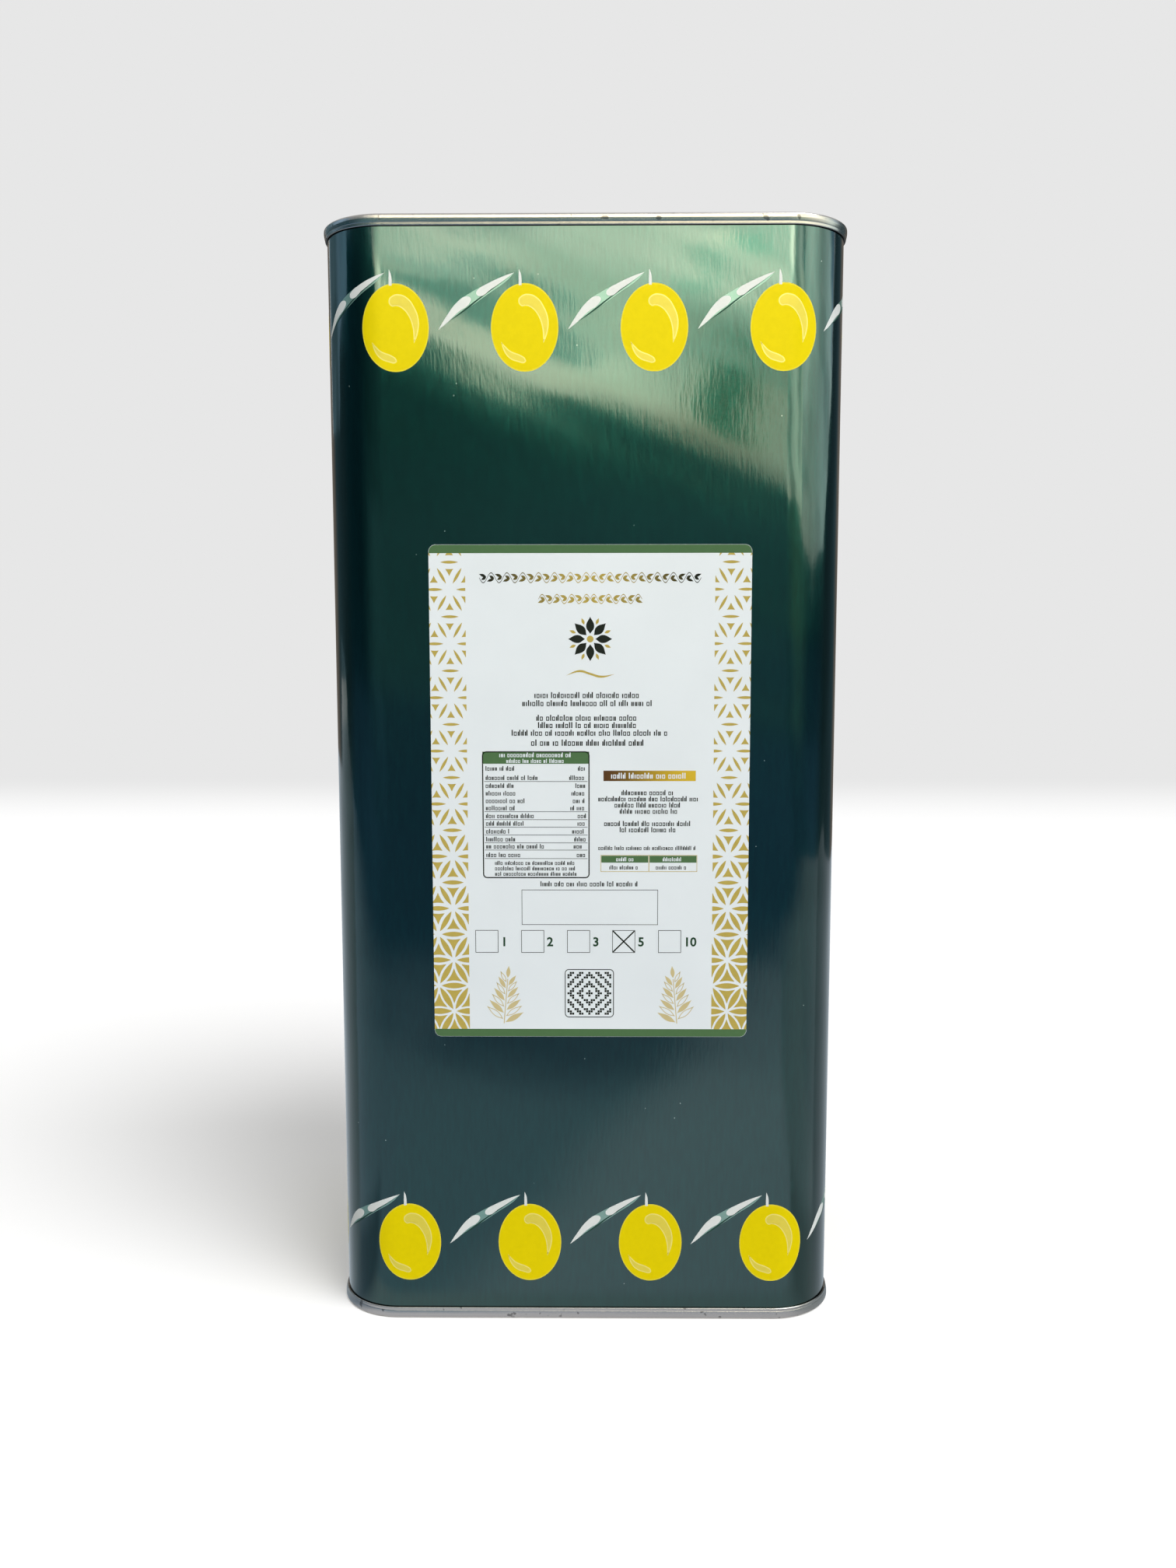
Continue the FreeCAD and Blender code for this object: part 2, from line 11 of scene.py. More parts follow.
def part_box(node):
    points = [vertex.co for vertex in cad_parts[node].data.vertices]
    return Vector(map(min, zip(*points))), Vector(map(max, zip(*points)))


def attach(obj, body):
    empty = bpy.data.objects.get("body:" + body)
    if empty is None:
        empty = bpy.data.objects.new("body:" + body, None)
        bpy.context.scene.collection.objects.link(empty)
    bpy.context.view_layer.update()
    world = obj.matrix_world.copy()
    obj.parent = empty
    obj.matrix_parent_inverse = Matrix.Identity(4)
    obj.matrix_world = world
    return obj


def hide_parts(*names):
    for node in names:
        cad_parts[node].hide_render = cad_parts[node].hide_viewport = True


bl_info = {
    "name": "Oil Tin",
    "version": (1, 0, 0),
    "blender": (4, 5, 0),
    "location": "3D View > Sidebar > Oil Tin",
    "description": "Lacquered wall, seams, print, label, spout, cap and handle of an oblong oil tin",
    "category": "Object",
}

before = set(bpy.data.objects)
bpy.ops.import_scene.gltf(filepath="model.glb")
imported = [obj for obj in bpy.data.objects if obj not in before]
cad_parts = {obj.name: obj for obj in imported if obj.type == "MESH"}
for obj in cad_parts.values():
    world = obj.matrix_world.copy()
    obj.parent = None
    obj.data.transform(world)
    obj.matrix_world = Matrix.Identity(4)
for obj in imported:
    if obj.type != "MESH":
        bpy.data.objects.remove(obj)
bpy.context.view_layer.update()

# Meshes are drawn in millimetres and scaled to metres when a piece is finished
MM = 0.001
FULL_TURN = 2 * math.pi
LATHE_STEPS = 96
CORNER_STEPS = 24
BEND_STEPS = 5
SHARP_ANGLE = math.radians(40)
MERGE_DISTANCE = 1e-3

# Sockets of the Mix node when it mixes colours
MIX_FACTOR, MIX_A, MIX_B, MIX_RESULT = 0, 6, 7, 2


def linear(code):
    """An sRGB hex colour as linear RGBA."""
    channels = [int(code[start:start + 2], 16) / 255 for start in (1, 3, 5)]
    return (*(c / 12.92 if c <= 0.04045 else ((c + 0.055) / 1.055) ** 2.4 for c in channels), 1.0)


def node_box(name):
    """Lowest and highest corner of a CAD node, in millimetres."""
    return tuple(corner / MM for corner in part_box(name))


# Places that the frame gives
RIM_HIGH = node_box("top_end")[1]
LABEL_LOW, LABEL_HIGH = node_box("front_label")
COLLAR_LOW, COLLAR_HIGH = node_box("spout_collar")
SPOUT_LOW, SPOUT_HIGH = node_box("pour_spout")
BAND_LOW, BAND_HIGH = node_box("tamper_band")
SEAL_LOW, SEAL_HIGH = node_box("spout_seal")
LINER_LOW, LINER_HIGH = node_box("cap_liner")
CAP_LOW, CAP_HIGH = node_box("cap_shell")
HANDLE_LOW, HANDLE_HIGH = node_box("carry_handle")
BRACKET_LOW, BRACKET_HIGH = node_box("handle_bracket_right")

HALF_DEPTH = -LABEL_HIGH.y
SEAM_PROUD = RIM_HIGH.y - HALF_DEPTH
HALF_WIDTH = RIM_HIGH.x - SEAM_PROUD
TIN_HEIGHT = RIM_HIGH.z
PANEL_LEVEL = BRACKET_LOW.z
LABEL_X = (LABEL_LOW.x + LABEL_HIGH.x) / 2
LABEL_HALF = (LABEL_HIGH.x - LABEL_LOW.x) / 2
LABEL_FRONT = -LABEL_LOW.y
SPOUT_AXIS = (COLLAR_LOW + COLLAR_HIGH) / 2


# Settings

def colour_setting(name, description, code):
    return bpy.props.FloatVectorProperty(name=name, description=description, subtype="COLOR", size=4,
                                         min=0.0, max=1.0, default=linear(code))


def length_setting(name, description, millimetres):
    return bpy.props.FloatProperty(name=name, description=description, unit="LENGTH",
                                   precision=5, default=millimetres * MM)


def angle_setting(name, description, degrees):
    return bpy.props.FloatProperty(name=name, description=description, subtype="ANGLE",
                                   default=math.radians(degrees))


def power_setting(name, description, watts):
    return bpy.props.FloatProperty(name=name, description=description, subtype="POWER", default=watts)


class WallSettings(bpy.types.PropertyGroup):
    corner_radius: length_setting("Corner Radius", "Outside radius of the wall's corners", 18.0)
    sheet: length_setting("Sheet", "Thickness of the tinplate", 0.27)
    seam_height: length_setting("Seam Height", "Height of the double seams", 3.2)
    weld_back: length_setting("Weld Place", "How far behind the left side's middle the weld lies", 23.7)
    weld_margin: length_setting("Weld Margin", "Width of the bare strip along the weld", 3.0)
    lacquer: colour_setting("Lacquer", "Green lacquer on the wall", "#0a3733")
    tinplate: colour_setting("Tinplate", "Bare tinplate of the seams and the weld", "#a19f9c")


class OliveSettings(bpy.types.PropertyGroup):
    count: bpy.props.IntProperty(name="Count", description="Olives in one row round the tin", default=14)
    first: length_setting("First Olive", "Place of one olive, right of the front's middle", 19.4)
    low_row: length_setting("Low Row", "Height of the lower row's olives", 23.6)
    high_row: length_setting("High Row", "Height of the upper row's olives", 289.5)
    width: length_setting("Width", "Width of an olive", 18.8)
    height: length_setting("Height", "Height of an olive", 23.9)
    rim: length_setting("Rim", "Width of an olive's pale rim", 0.28)
    fruit: colour_setting("Fruit", "Ink of the olives", "#e7d300")
    rim_colour: colour_setting("Rim Colour", "Ink of the olives' rims", "#e9d838")
    gleam: colour_setting("Gleam", "Ink of the olives' gleams", "#e0d052")
    gleam_edge: colour_setting("Gleam Edge", "Ink round the gleams", "#ebe07c")
    leaf: colour_setting("Leaf", "Ink of the leaves' blades", "#7a9a90")
    vein: colour_setting("Vein", "Ink of the leaves' veins", "#27443c")
    lobe: colour_setting("Lobe", "Ink of the leaves' bright lobes and the stems", "#dfe4e2")


class LabelSettings(bpy.types.PropertyGroup):
    ring_radius: length_setting("Ring Radius", "Radius of the rings in the border's lattice", 8.86)
    ring_thin: length_setting("Thin Line", "Width of the rings' line at the foot of the border", 0.6)
    ring_thick: length_setting("Thick Line", "Width of the rings' line at the head of the border", 1.55)
    band_inner: length_setting("Band", "Distance of the border bands from the label's middle", 35.5)
    paper: colour_setting("Paper", "White film of the label", "#e6eef2")
    green: colour_setting("Green", "Green ink", "#50734b")
    deep_green: colour_setting("Deep green", "Ink of the numbers", "#274530")
    gold: colour_setting("Gold", "Gold ink", "#bda955")
    dark: colour_setting("Dark", "Dark ink of the rows and the frames", "#20251f")
    brown: colour_setting("Brown", "Brown ink at the start of the shaded bar", "#5a3d22")
    yellow: colour_setting("Yellow", "Yellow ink at the end of the shaded bar", "#d9b733")
    sprig: colour_setting("Sprig", "Pale gold ink of the sprigs", "#cdbf8e")


class ClosureSettings(bpy.types.PropertyGroup):
    thread_pitch: length_setting("Thread Pitch", "Rise of the cap in one turn", 4.0)
    ribs: bpy.props.IntProperty(name="Ribs", description="Grip ribs round the cap", default=48)
    bridges: bpy.props.IntProperty(name="Bridges", description="Bridges from the band to the cap", default=12)
    spout: colour_setting("Spout", "Natural polyethylene of the collar and the spout", "#e9e8e0")
    cap: colour_setting("Cap", "Dyed polyethylene of the cap and its band", "#e2b90c")
    liner: colour_setting("Liner", "Foam of the cap's liner", "#dcdcd6")
    rubber: colour_setting("Rubber", "Gasket and sealing compound", "#6d6a62")
    handle: colour_setting("Handle", "Polypropylene of the carrying handle", "#17191a")


class StageSettings(bpy.types.PropertyGroup):
    camera_place: bpy.props.FloatVectorProperty(
        name="Camera Place", description="Where the camera stands", subtype="TRANSLATION",
        default=(4.02 * MM, -424.07 * MM, 200.28 * MM))
    camera_pitch: angle_setting("Pitch", "How far the camera looks down", 6.02)
    camera_yaw: angle_setting("Yaw", "How far the camera looks to the right", -0.499)
    camera_roll: angle_setting("Roll", "How far the camera leans", -0.041)
    lens: bpy.props.FloatProperty(name="Lens", description="Focal length on a 36 mm sensor",
                                  subtype="DISTANCE_CAMERA", default=29.166)
    backdrop: colour_setting("Backdrop", "Backdrop behind the floor", "#e7e7e7")
    floor: colour_setting("Floor", "Floor", "#ffffff")
    front_power: power_setting("Front Light", "Softbox in front", 14.5)
    top_power: power_setting("Top Light", "Softbox overhead", 3.0)
    key_strength: bpy.props.FloatProperty(name="Key Light", description="Light from the right and the front",
                                          default=2.5)
    key_spread: angle_setting("Key Spread", "Angle that the key light fills", 36)
    ambient: bpy.props.FloatProperty(name="Ambient", description="Even light of the room", default=0.3)


# Modelling helpers

def moved(x, y, z=0.0):
    return Matrix.Translation((x, y, z))


def turned(degrees, axis="Z"):
    return Matrix.Rotation(math.radians(degrees), 4, axis)


def whole(bm):
    """Every vertex, edge and face of a mesh."""
    return bm.verts[:] + bm.edges[:] + bm.faces[:]


def bevel(bm, geom, offset, segments, affect="EDGES"):
    """Rounds edges or corners with even arcs."""
    bmesh.ops.bevel(bm, geom=geom, offset=offset, affect=affect, segments=segments, profile=0.5, material=-1)


def face_up(bm):
    """Turns the faces of a flat drawing upwards."""
    for face in bm.faces:
        face.normal_update()
        if face.normal.z < 0:
            face.normal_flip()


def round_corners(bm, verts, points):
    """Rounds the corners of an outline or a wire where a point's third number gives a radius."""
    for vert, point in zip(verts, points):
        if len(point) == 3:
            first, second = (edge.other_vert(vert).co - vert.co for edge in vert.link_edges)
            reach = point[2] / math.tan(first.angle(second) / 2)
            bevel(bm, [vert], reach, BEND_STEPS, "VERTICES")


def draw_section(points, closed=True):
    """A wire in the XZ plane through points (across, up); a third number rounds the corner there."""
    bm = bmesh.new()
    verts = [bm.verts.new((point[0], 0, point[1])) for point in points]
    ends = verts[1:] + verts[:1] if closed else verts[1:]
    for pair in zip(verts, ends):
        bm.edges.new(pair)
    round_corners(bm, verts, points)
    return bm


def turn_section(bm, axis=SPOUT_AXIS, steps=LATHE_STEPS):
    """Turns a section about an upright axis into a closed shape."""
    bmesh.ops.translate(bm, verts=bm.verts, vec=(axis.x, axis.y, 0))
    bmesh.ops.spin(bm, geom=bm.verts[:] + bm.edges[:], cent=(axis.x, axis.y, 0), axis=(0, 0, 1),
                   angle=FULL_TURN, steps=steps, use_merge=True)
    bmesh.ops.remove_doubles(bm, verts=bm.verts, dist=MERGE_DISTANCE)
    return bm


def draw_outline(points):
    """A filled flat outline through points (x, y); a third number rounds the corner there."""
    bm = bmesh.new()
    verts = [bm.verts.new((point[0], point[1], 0)) for point in points]
    bm.faces.new(verts)
    round_corners(bm, verts, points)
    return bm


def add_part(bm, part, matrix=Matrix()):
    """Adds a mesh, placed by a matrix, to another and frees it."""
    bmesh.ops.transform(part, matrix=matrix, verts=part.verts)
    mesh = bpy.data.meshes.new("part")
    part.to_mesh(mesh)
    part.free()
    bm.from_mesh(mesh)
    bpy.data.meshes.remove(mesh)


def rod(radius, length, steps=24, edge=0.0):
    """A rod along +Z from the origin, with its top edge rounded where a radius is given."""
    bm = bmesh.new()
    bmesh.ops.create_cone(bm, cap_ends=True, segments=steps, radius1=radius, radius2=radius, depth=length)
    bmesh.ops.translate(bm, verts=bm.verts, vec=(0, 0, length / 2))
    if edge:
        bevel(bm, [e for e in bm.edges if all(v.co.z > length / 2 for v in e.verts)], edge, 3)
    return bm


def finish_piece(bm, name, body, finish, replaced=()):
    """Makes a drawn mesh a piece that rides on its body's empty, and hides the CAD nodes that it replaces."""
    bmesh.ops.remove_doubles(bm, verts=bm.verts, dist=MERGE_DISTANCE)
    bmesh.ops.recalc_face_normals(bm, faces=bm.faces)
    bmesh.ops.scale(bm, vec=(MM, MM, MM), verts=bm.verts)
    piece = link_mesh(bm, name, finish)
    piece.data.shade_smooth()
    piece.data.set_sharp_from_angle(angle=SHARP_ANGLE)
    shading = piece.modifiers.new("Flat faces stay flat", "WEIGHTED_NORMAL")
    shading.keep_sharp = True
    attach(piece, body)
    if replaced:
        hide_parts(*replaced)


def link_mesh(bm, name, material):
    """Puts a drawn mesh into the scene with its material."""
    mesh = bpy.data.meshes.new(name)
    bm.to_mesh(mesh)
    bm.free()
    mesh.materials.append(material)
    piece = bpy.data.objects.new(name, mesh)
    bpy.context.scene.collection.objects.link(piece)
    return piece


def coat_node(name, finish):
    """Gives a CAD node that stays in view its finish."""
    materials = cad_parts[name].data.materials
    materials.clear()
    materials.append(finish)


class WallOutline:
    """The rounded rectangle that the wall follows."""

    def __init__(self, settings):
        self.corner = settings.corner_radius / MM
        self.run_x = HALF_WIDTH - self.corner
        self.run_y = HALF_DEPTH - self.corner
        self.arc = self.corner * math.pi / 2
        self.length = 4 * (self.run_x + self.run_y + self.arc)

    def sweep(self, bm):
        """Carries a section, drawn with across as the distance outside the wall, once round the tin."""
        x, y = self.run_x, self.run_y
        bmesh.ops.transform(bm, matrix=moved(-x, -HALF_DEPTH) @ turned(-90), verts=bm.verts)
        edges = bm.edges[:]
        for run, centre in (((2 * x, 0, 0), (x, -y, 0)), ((0, 2 * y, 0), (x, y, 0)),
                            ((-2 * x, 0, 0), (-x, y, 0)), ((0, -2 * y, 0), (-x, -y, 0))):
            made = bmesh.ops.extrude_edge_only(bm, edges=edges)["geom"]
            bmesh.ops.translate(bm, verts=[v for v in made if isinstance(v, bmesh.types.BMVert)], vec=run)
            edges = [e for e in made if isinstance(e, bmesh.types.BMEdge)]
            last = bmesh.ops.spin(bm, geom=edges, cent=centre, axis=(0, 0, 1), angle=math.pi / 2,
                                  steps=CORNER_STEPS)["geom_last"]
            edges = [e for e in last if isinstance(e, bmesh.types.BMEdge)]
        bmesh.ops.remove_doubles(bm, verts=bm.verts, dist=MERGE_DISTANCE)
        return bm

    def place(self, along, lift):
        """The point that lies along the wall from the front's middle, lifted off its face."""
        left = along % self.length
        heading = 0.0
        point = Vector((0, -HALF_DEPTH))
        for run, corner_follows in ((self.run_x, True), (2 * self.run_y, True), (2 * self.run_x, True),
                                    (2 * self.run_y, True), (self.run_x, False)):
            step = min(left, run)
            point += Vector((math.cos(heading), math.sin(heading))) * step
            left -= step
            if not corner_follows or left <= 0:
                break
            step = min(left, self.arc)
            centre = point + Vector((-math.sin(heading), math.cos(heading))) * self.corner
            heading += step / self.corner
            point = centre + Vector((math.sin(heading), -math.cos(heading))) * self.corner
            left -= step
        return point + Vector((math.sin(heading), -math.cos(heading))) * lift

    def nearest(self, along):
        """The same place along the wall, counted the short way from the front's middle."""
        return (along + self.length / 2) % self.length - self.length / 2

    def wrap(self, bm, lift, depth):
        """Bends a flat print, drawn as (along, height), round the wall as a thin closed layer."""
        step = self.arc / CORNER_STEPS
        right_arcs = (self.run_x, self.run_x + self.arc + 2 * self.run_y)
        for start in [start for first in right_arcs for start in (first, -first - self.arc)]:
            for index in range(CORNER_STEPS + 1):
                cut = self.nearest(start + index * step)
                bmesh.ops.bisect_plane(bm, geom=whole(bm), plane_co=(cut, 0, 0), plane_no=(1, 0, 0))
        bmesh.ops.solidify(bm, geom=bm.faces[:], thickness=depth)
        for vert in bm.verts:
            spot = self.place(vert.co.x, lift + vert.co.z)
            vert.co = (spot.x, spot.y, vert.co.y)


# Finishes

def set_inputs(tree, node, inputs):
    """Sets inputs of a node. Each takes a value, or the output that feeds it."""
    for key, value in inputs.items():
        if isinstance(value, bpy.types.NodeSocket):
            tree.links.new(value, node.inputs[key])
        else:
            node.inputs[key].default_value = value


def add_node(tree, kind, inputs=None, **settings):
    """Adds a node with its settings, values and links."""
    made = tree.nodes.new(kind)
    for name, value in settings.items():
        setattr(made, name, value)
    set_inputs(tree, made, inputs or {})
    return made


def new_finish(name):
    """A material, with its node tree, its surface and the place that its patterns read."""
    material = bpy.data.materials.new(name)
    material.use_nodes = True
    tree = material.node_tree
    place = add_node(tree, "ShaderNodeTexCoord").outputs["Object"]
    return material, tree, tree.nodes["Principled BSDF"], place


def blank_tree(owner):
    """The cleared node tree of a material or a world."""
    owner.use_nodes = True
    owner.node_tree.nodes.clear()
    return owner.node_tree


def per_mm(*sizes):
    """Pattern scale whose features have these sizes in millimetres."""
    return tuple(1 / (size * MM) for size in sizes)


def tint(colour, factor):
    return (*(min(channel * factor, 1.0) for channel in colour[:3]), 1.0)


def clouded(tree, place, colour, size, detail, darker, lighter):
    """A cloudy pattern of a size in millimetres, and the colour that it shades between two tints."""
    clouds = add_node(tree, "ShaderNodeTexNoise", {
        "Vector": place, "Scale": per_mm(size)[0], "Detail": detail}).outputs["Fac"]
    tone = add_node(tree, "ShaderNodeMix", {
        MIX_FACTOR: clouds, MIX_A: tint(colour, darker), MIX_B: tint(colour, lighter)}, data_type="RGBA")
    return clouds, tone.outputs[MIX_RESULT]


def lacquered_tinplate(colour):
    """Tinplate under a stoved green lacquer: a dark metal with a clear gloss, grain and springy waves."""
    material, tree, surface, place = new_finish("lacquered_tinplate")
    rolled = add_node(tree, "ShaderNodeMapping", {"Vector": place, "Scale": per_mm(0.8, 0.8, 5.0)})
    grain = add_node(tree, "ShaderNodeTexNoise", {"Vector": rolled.outputs[0], "Scale": 1.0, "Detail": 3.0})
    # Waves of the sheet, and slack left by the corner bends, run down to the right
    lean = (0.0, math.radians(24), 0.0)
    sheet = add_node(tree, "ShaderNodeMapping", {
        "Vector": place, "Scale": per_mm(95.0, 95.0, 55.0), "Rotation": lean})
    waves = add_node(tree, "ShaderNodeTexNoise", {"Vector": sheet.outputs[0], "Scale": 1.0, "Detail": 1.0})
    slack = add_node(tree, "ShaderNodeMapping", {
        "Vector": place, "Scale": (130 * MM, 130 * MM, 26 * MM), "Rotation": lean}, vector_type="TEXTURE")
    folds = add_node(tree, "ShaderNodeTexNoise", {"Vector": slack.outputs[0], "Scale": 1.0, "Detail": 1.0})
    tone = add_node(tree, "ShaderNodeMix", {
        MIX_FACTOR: grain.outputs["Fac"], MIX_A: tint(colour, 0.72), MIX_B: tint(colour, 1.28)},
        data_type="RGBA")
    # Specks of dust, at most 0.4 mm wide and some 35 mm apart
    cell, speck, core = 8.0, 0.208, 0.128
    specks = add_node(tree, "ShaderNodeTexVoronoi", {"Vector": place, "Scale": per_mm(cell)[0]})
    dust = add_node(tree, "ShaderNodeMapRange", {
        "Value": specks.outputs["Distance"], "From Min": speck / cell, "From Max": core / cell,
        "To Min": 0.0, "To Max": 0.7})
    clean = add_node(tree, "ShaderNodeMath", {0: 1.0, 1: dust.outputs[0]}, operation="SUBTRACT")
    dusty = add_node(tree, "ShaderNodeMix", {
        MIX_FACTOR: dust.outputs[0], MIX_A: tone.outputs[MIX_RESULT], MIX_B: linear("#9db0aa")},
        data_type="RGBA")
    gloss = add_node(tree, "ShaderNodeMapRange", {
        "Value": grain.outputs["Fac"], "To Min": 0.12, "To Max": 0.19})
    spring = add_node(tree, "ShaderNodeBump", {"Height": waves.outputs["Fac"], "Distance": 1.1 * MM})
    ripple = add_node(tree, "ShaderNodeBump", {
        "Height": folds.outputs["Fac"], "Distance": 0.35 * MM, "Normal": spring.outputs[0]})
    lines = add_node(tree, "ShaderNodeBump", {
        "Height": grain.outputs["Fac"], "Distance": 0.012 * MM, "Normal": ripple.outputs[0]})
    set_inputs(tree, surface, {
        "Base Color": dusty.outputs[MIX_RESULT], "Metallic": clean.outputs[0], "Roughness": gloss.outputs[0],
        "Normal": lines.outputs[0], "Coat Weight": 1.0, "Coat Roughness": 0.075, "Coat IOR": 1.5,
        "Coat Normal": lines.outputs[0]})
    return material


def bare_tinplate(colour):
    """Bright tinplate: a silver metal, dulled in patches, scuffed by knocks, with painted shade darkening its
    undersides.
    """
    material, tree, surface, place = new_finish("bare_tinplate")
    patches = add_node(tree, "ShaderNodeTexNoise", {"Vector": place, "Scale": per_mm(7.0)[0], "Detail": 3.0})
    knocks = add_node(tree, "ShaderNodeTexNoise", {"Vector": place, "Scale": per_mm(2.6)[0], "Detail": 2.0})
    scuffs = add_node(tree, "ShaderNodeMapRange", {
        "Value": knocks.outputs["Fac"], "From Min": 0.67, "From Max": 0.72, "To Min": 0.0, "To Max": 0.75})
    tone = add_node(tree, "ShaderNodeMix", {
        MIX_FACTOR: scuffs.outputs[0], MIX_A: colour, MIX_B: tint(colour, 0.28)}, data_type="RGBA")
    # Painted shade: faces that look down are darkened nearly to black
    normal = add_node(tree, "ShaderNodeTexCoord").outputs["Normal"]
    facing = add_node(tree, "ShaderNodeSeparateXYZ", {"Vector": normal})
    painted_underside_shade = add_node(tree, "ShaderNodeMapRange", {
        "Value": facing.outputs["Z"], "From Min": -0.6, "From Max": -0.95})
    underside_shaded_tone = add_node(tree, "ShaderNodeMix", {
        MIX_FACTOR: painted_underside_shade.outputs[0], MIX_A: tone.outputs[MIX_RESULT], MIX_B: tint(colour, 0.03)},
        data_type="RGBA")
    gloss = add_node(tree, "ShaderNodeMapRange", {
        "Value": patches.outputs["Fac"], "To Min": 0.2, "To Max": 0.3})
    dents = add_node(tree, "ShaderNodeBump", {"Height": patches.outputs["Fac"], "Distance": 0.03 * MM})
    set_inputs(tree, surface, {
        "Base Color": underside_shaded_tone.outputs[MIX_RESULT], "Metallic": 1.0, "Roughness": gloss.outputs[0],
        "Normal": dents.outputs[0]})
    return material


def printed_ink(name, colour, mottle=0.05, roughness=0.6, metallic=0.0):
    """Offset ink: a matt, even colour with the faint mottle of the press."""
    material, tree, surface, place = new_finish(name)
    tone = clouded(tree, place, colour, size=1.4, detail=3.0, darker=1 - mottle, lighter=1 + mottle)[1]
    set_inputs(tree, surface, {
        "Base Color": tone, "Metallic": metallic, "Roughness": roughness, "Specular IOR Level": 0.05})
    return material


def tin_ink(name, colour, shine):
    """Translucent ink on tinplate: the sheet below lends it a share of the metal's shine."""
    return printed_ink(name, colour, roughness=0.3, metallic=shine)


def shaded_ink(name, colours, left, right, mirrored=False):
    """Offset ink that changes colour across the label, from left to right or from the middle outwards."""
    material, tree, surface, place = new_finish(name)
    across = add_node(tree, "ShaderNodeSeparateXYZ", {"Vector": place}).outputs["X"]
    if mirrored:
        middle = (left + right) / 2
        offset = add_node(tree, "ShaderNodeMath", {0: across, 1: middle * MM}, operation="SUBTRACT")
        across = add_node(tree, "ShaderNodeMath", {0: offset.outputs[0]}, operation="ABSOLUTE").outputs[0]
        left, right = 0.0, (right - left) / 2
    share = add_node(tree, "ShaderNodeMapRange", {
        "Value": across, "From Min": left * MM, "From Max": right * MM}, interpolation_type="SMOOTHSTEP")
    tone = add_node(tree, "ShaderNodeMix", {
        MIX_FACTOR: share.outputs[0], MIX_A: tuple(colours[0]), MIX_B: tuple(colours[1])}, data_type="RGBA")
    set_inputs(tree, surface, {
        "Base Color": tone.outputs[MIX_RESULT], "Roughness": 0.6, "Specular IOR Level": 0.05})
    return material


def label_film(colour):
    """White polypropylene label film: smooth, with a slight sheen and the faint cast of its adhesive."""
    material, tree, surface, place = new_finish("label_film")
    cast, tone = clouded(tree, place, colour, size=22.0, detail=4.0, darker=0.95, lighter=1.03)
    gloss = add_node(tree, "ShaderNodeMapRange", {"Value": cast, "To Min": 0.38, "To Max": 0.52})
    skin = add_node(tree, "ShaderNodeBump", {"Height": cast, "Distance": 0.05 * MM})
    set_inputs(tree, surface, {
        "Base Color": tone, "Roughness": gloss.outputs[0], "Normal": skin.outputs[0], "Coat Weight": 0.35,
        "Coat Roughness": 0.2})
    return material


def moulded_plastic(name, colour, clouding, roughness, grain, depth, values):
    """Injection-moulded plastic: a colour with slight clouding and the eroded skin of the mould."""
    material, tree, surface, place = new_finish(name)
    spread = 0.06
    tone = clouded(tree, place, colour, size=9.0, detail=2.0, darker=1 - clouding, lighter=1 + clouding)[1]
    skin = add_node(tree, "ShaderNodeTexNoise", {"Vector": place, "Scale": per_mm(grain)[0], "Detail": 2.0})
    gloss = add_node(tree, "ShaderNodeMapRange", {
        "Value": skin.outputs["Fac"], "To Min": roughness - spread, "To Max": roughness + spread})
    bump = add_node(tree, "ShaderNodeBump", {"Height": skin.outputs["Fac"], "Distance": depth * MM})
    set_inputs(tree, surface, {
        "Base Color": tone, "Roughness": gloss.outputs[0], "Normal": bump.outputs[0], **values})
    return material


def polyethylene(name, colour):
    """Moulded polyethylene: waxy, softly lit from inside, with a low sheen."""
    return moulded_plastic(name, colour, clouding=0.04, roughness=0.42, grain=0.7, depth=0.012, values={
        "IOR": 1.51, "Subsurface Weight": 0.25, "Subsurface Scale": 1.2 * MM})


def polypropylene(name, colour):
    """Black polypropylene from an eroded mould: a fine matt grain with a grey sheen."""
    return moulded_plastic(name, colour, clouding=0.12, roughness=0.46, grain=0.5, depth=0.03,
                           values={"IOR": 1.49})


def soft_rubber(name, colour):
    """Sealing rubber: dull and a little uneven."""
    return moulded_plastic(name, colour, clouding=0.15, roughness=0.7, grain=0.35, depth=0.02,
                           values={"IOR": 1.52})


def cell_foam(name, colour):
    """Closed-cell foam: dull, with the dimples of its cut cells."""
    return moulded_plastic(name, colour, clouding=0.06, roughness=0.75, grain=0.3, depth=0.08,
                           values={"IOR": 1.5})


# Wall and ends

def make_lacquered_wall(settings):
    sheet = settings.sheet / MM
    low = settings.seam_height / MM / 2
    high = TIN_HEIGHT - low
    wall = draw_section([(0, low), (0, high), (-sheet, high), (-sheet, low)])
    finish_piece(WallOutline(settings).sweep(wall), "lacquered_wall", "tin",
                 lacquered_tinplate(settings.lacquer), ["body_shell"])


def make_side_weld(settings):
    """The bare margin that the lacquer leaves along the weld, and the weld's flat ridge."""
    seam = settings.seam_height / MM
    half = settings.weld_margin / MM / 2
    ridge, slope, rise, bend, film = 0.45, 0.63, 0.1, 0.06, 0.02
    section = draw_section([(film, -half), (film, -slope), (rise, -ridge, bend), (rise, ridge, bend),
                            (film, slope), (film, half), (-film, half), (-film, -half)])
    bmesh.ops.transform(section, verts=section.verts, matrix=turned(90, "X"))
    bmesh.ops.contextual_create(section, geom=section.edges[:])
    bmesh.ops.solidify(section, geom=section.faces[:], thickness=TIN_HEIGHT - 2 * seam)
    lowest = min(vert.co.z for vert in section.verts)
    place = moved(-HALF_WIDTH, settings.weld_back / MM, seam - lowest)
    bmesh.ops.transform(section, verts=section.verts, matrix=place @ turned(180))
    # This name finds the plain material that the frame brings, not the finish made above
    plain = bpy.data.materials["bare_tinplate"]
    finish_piece(section, "weld_margin", "tin", plain)


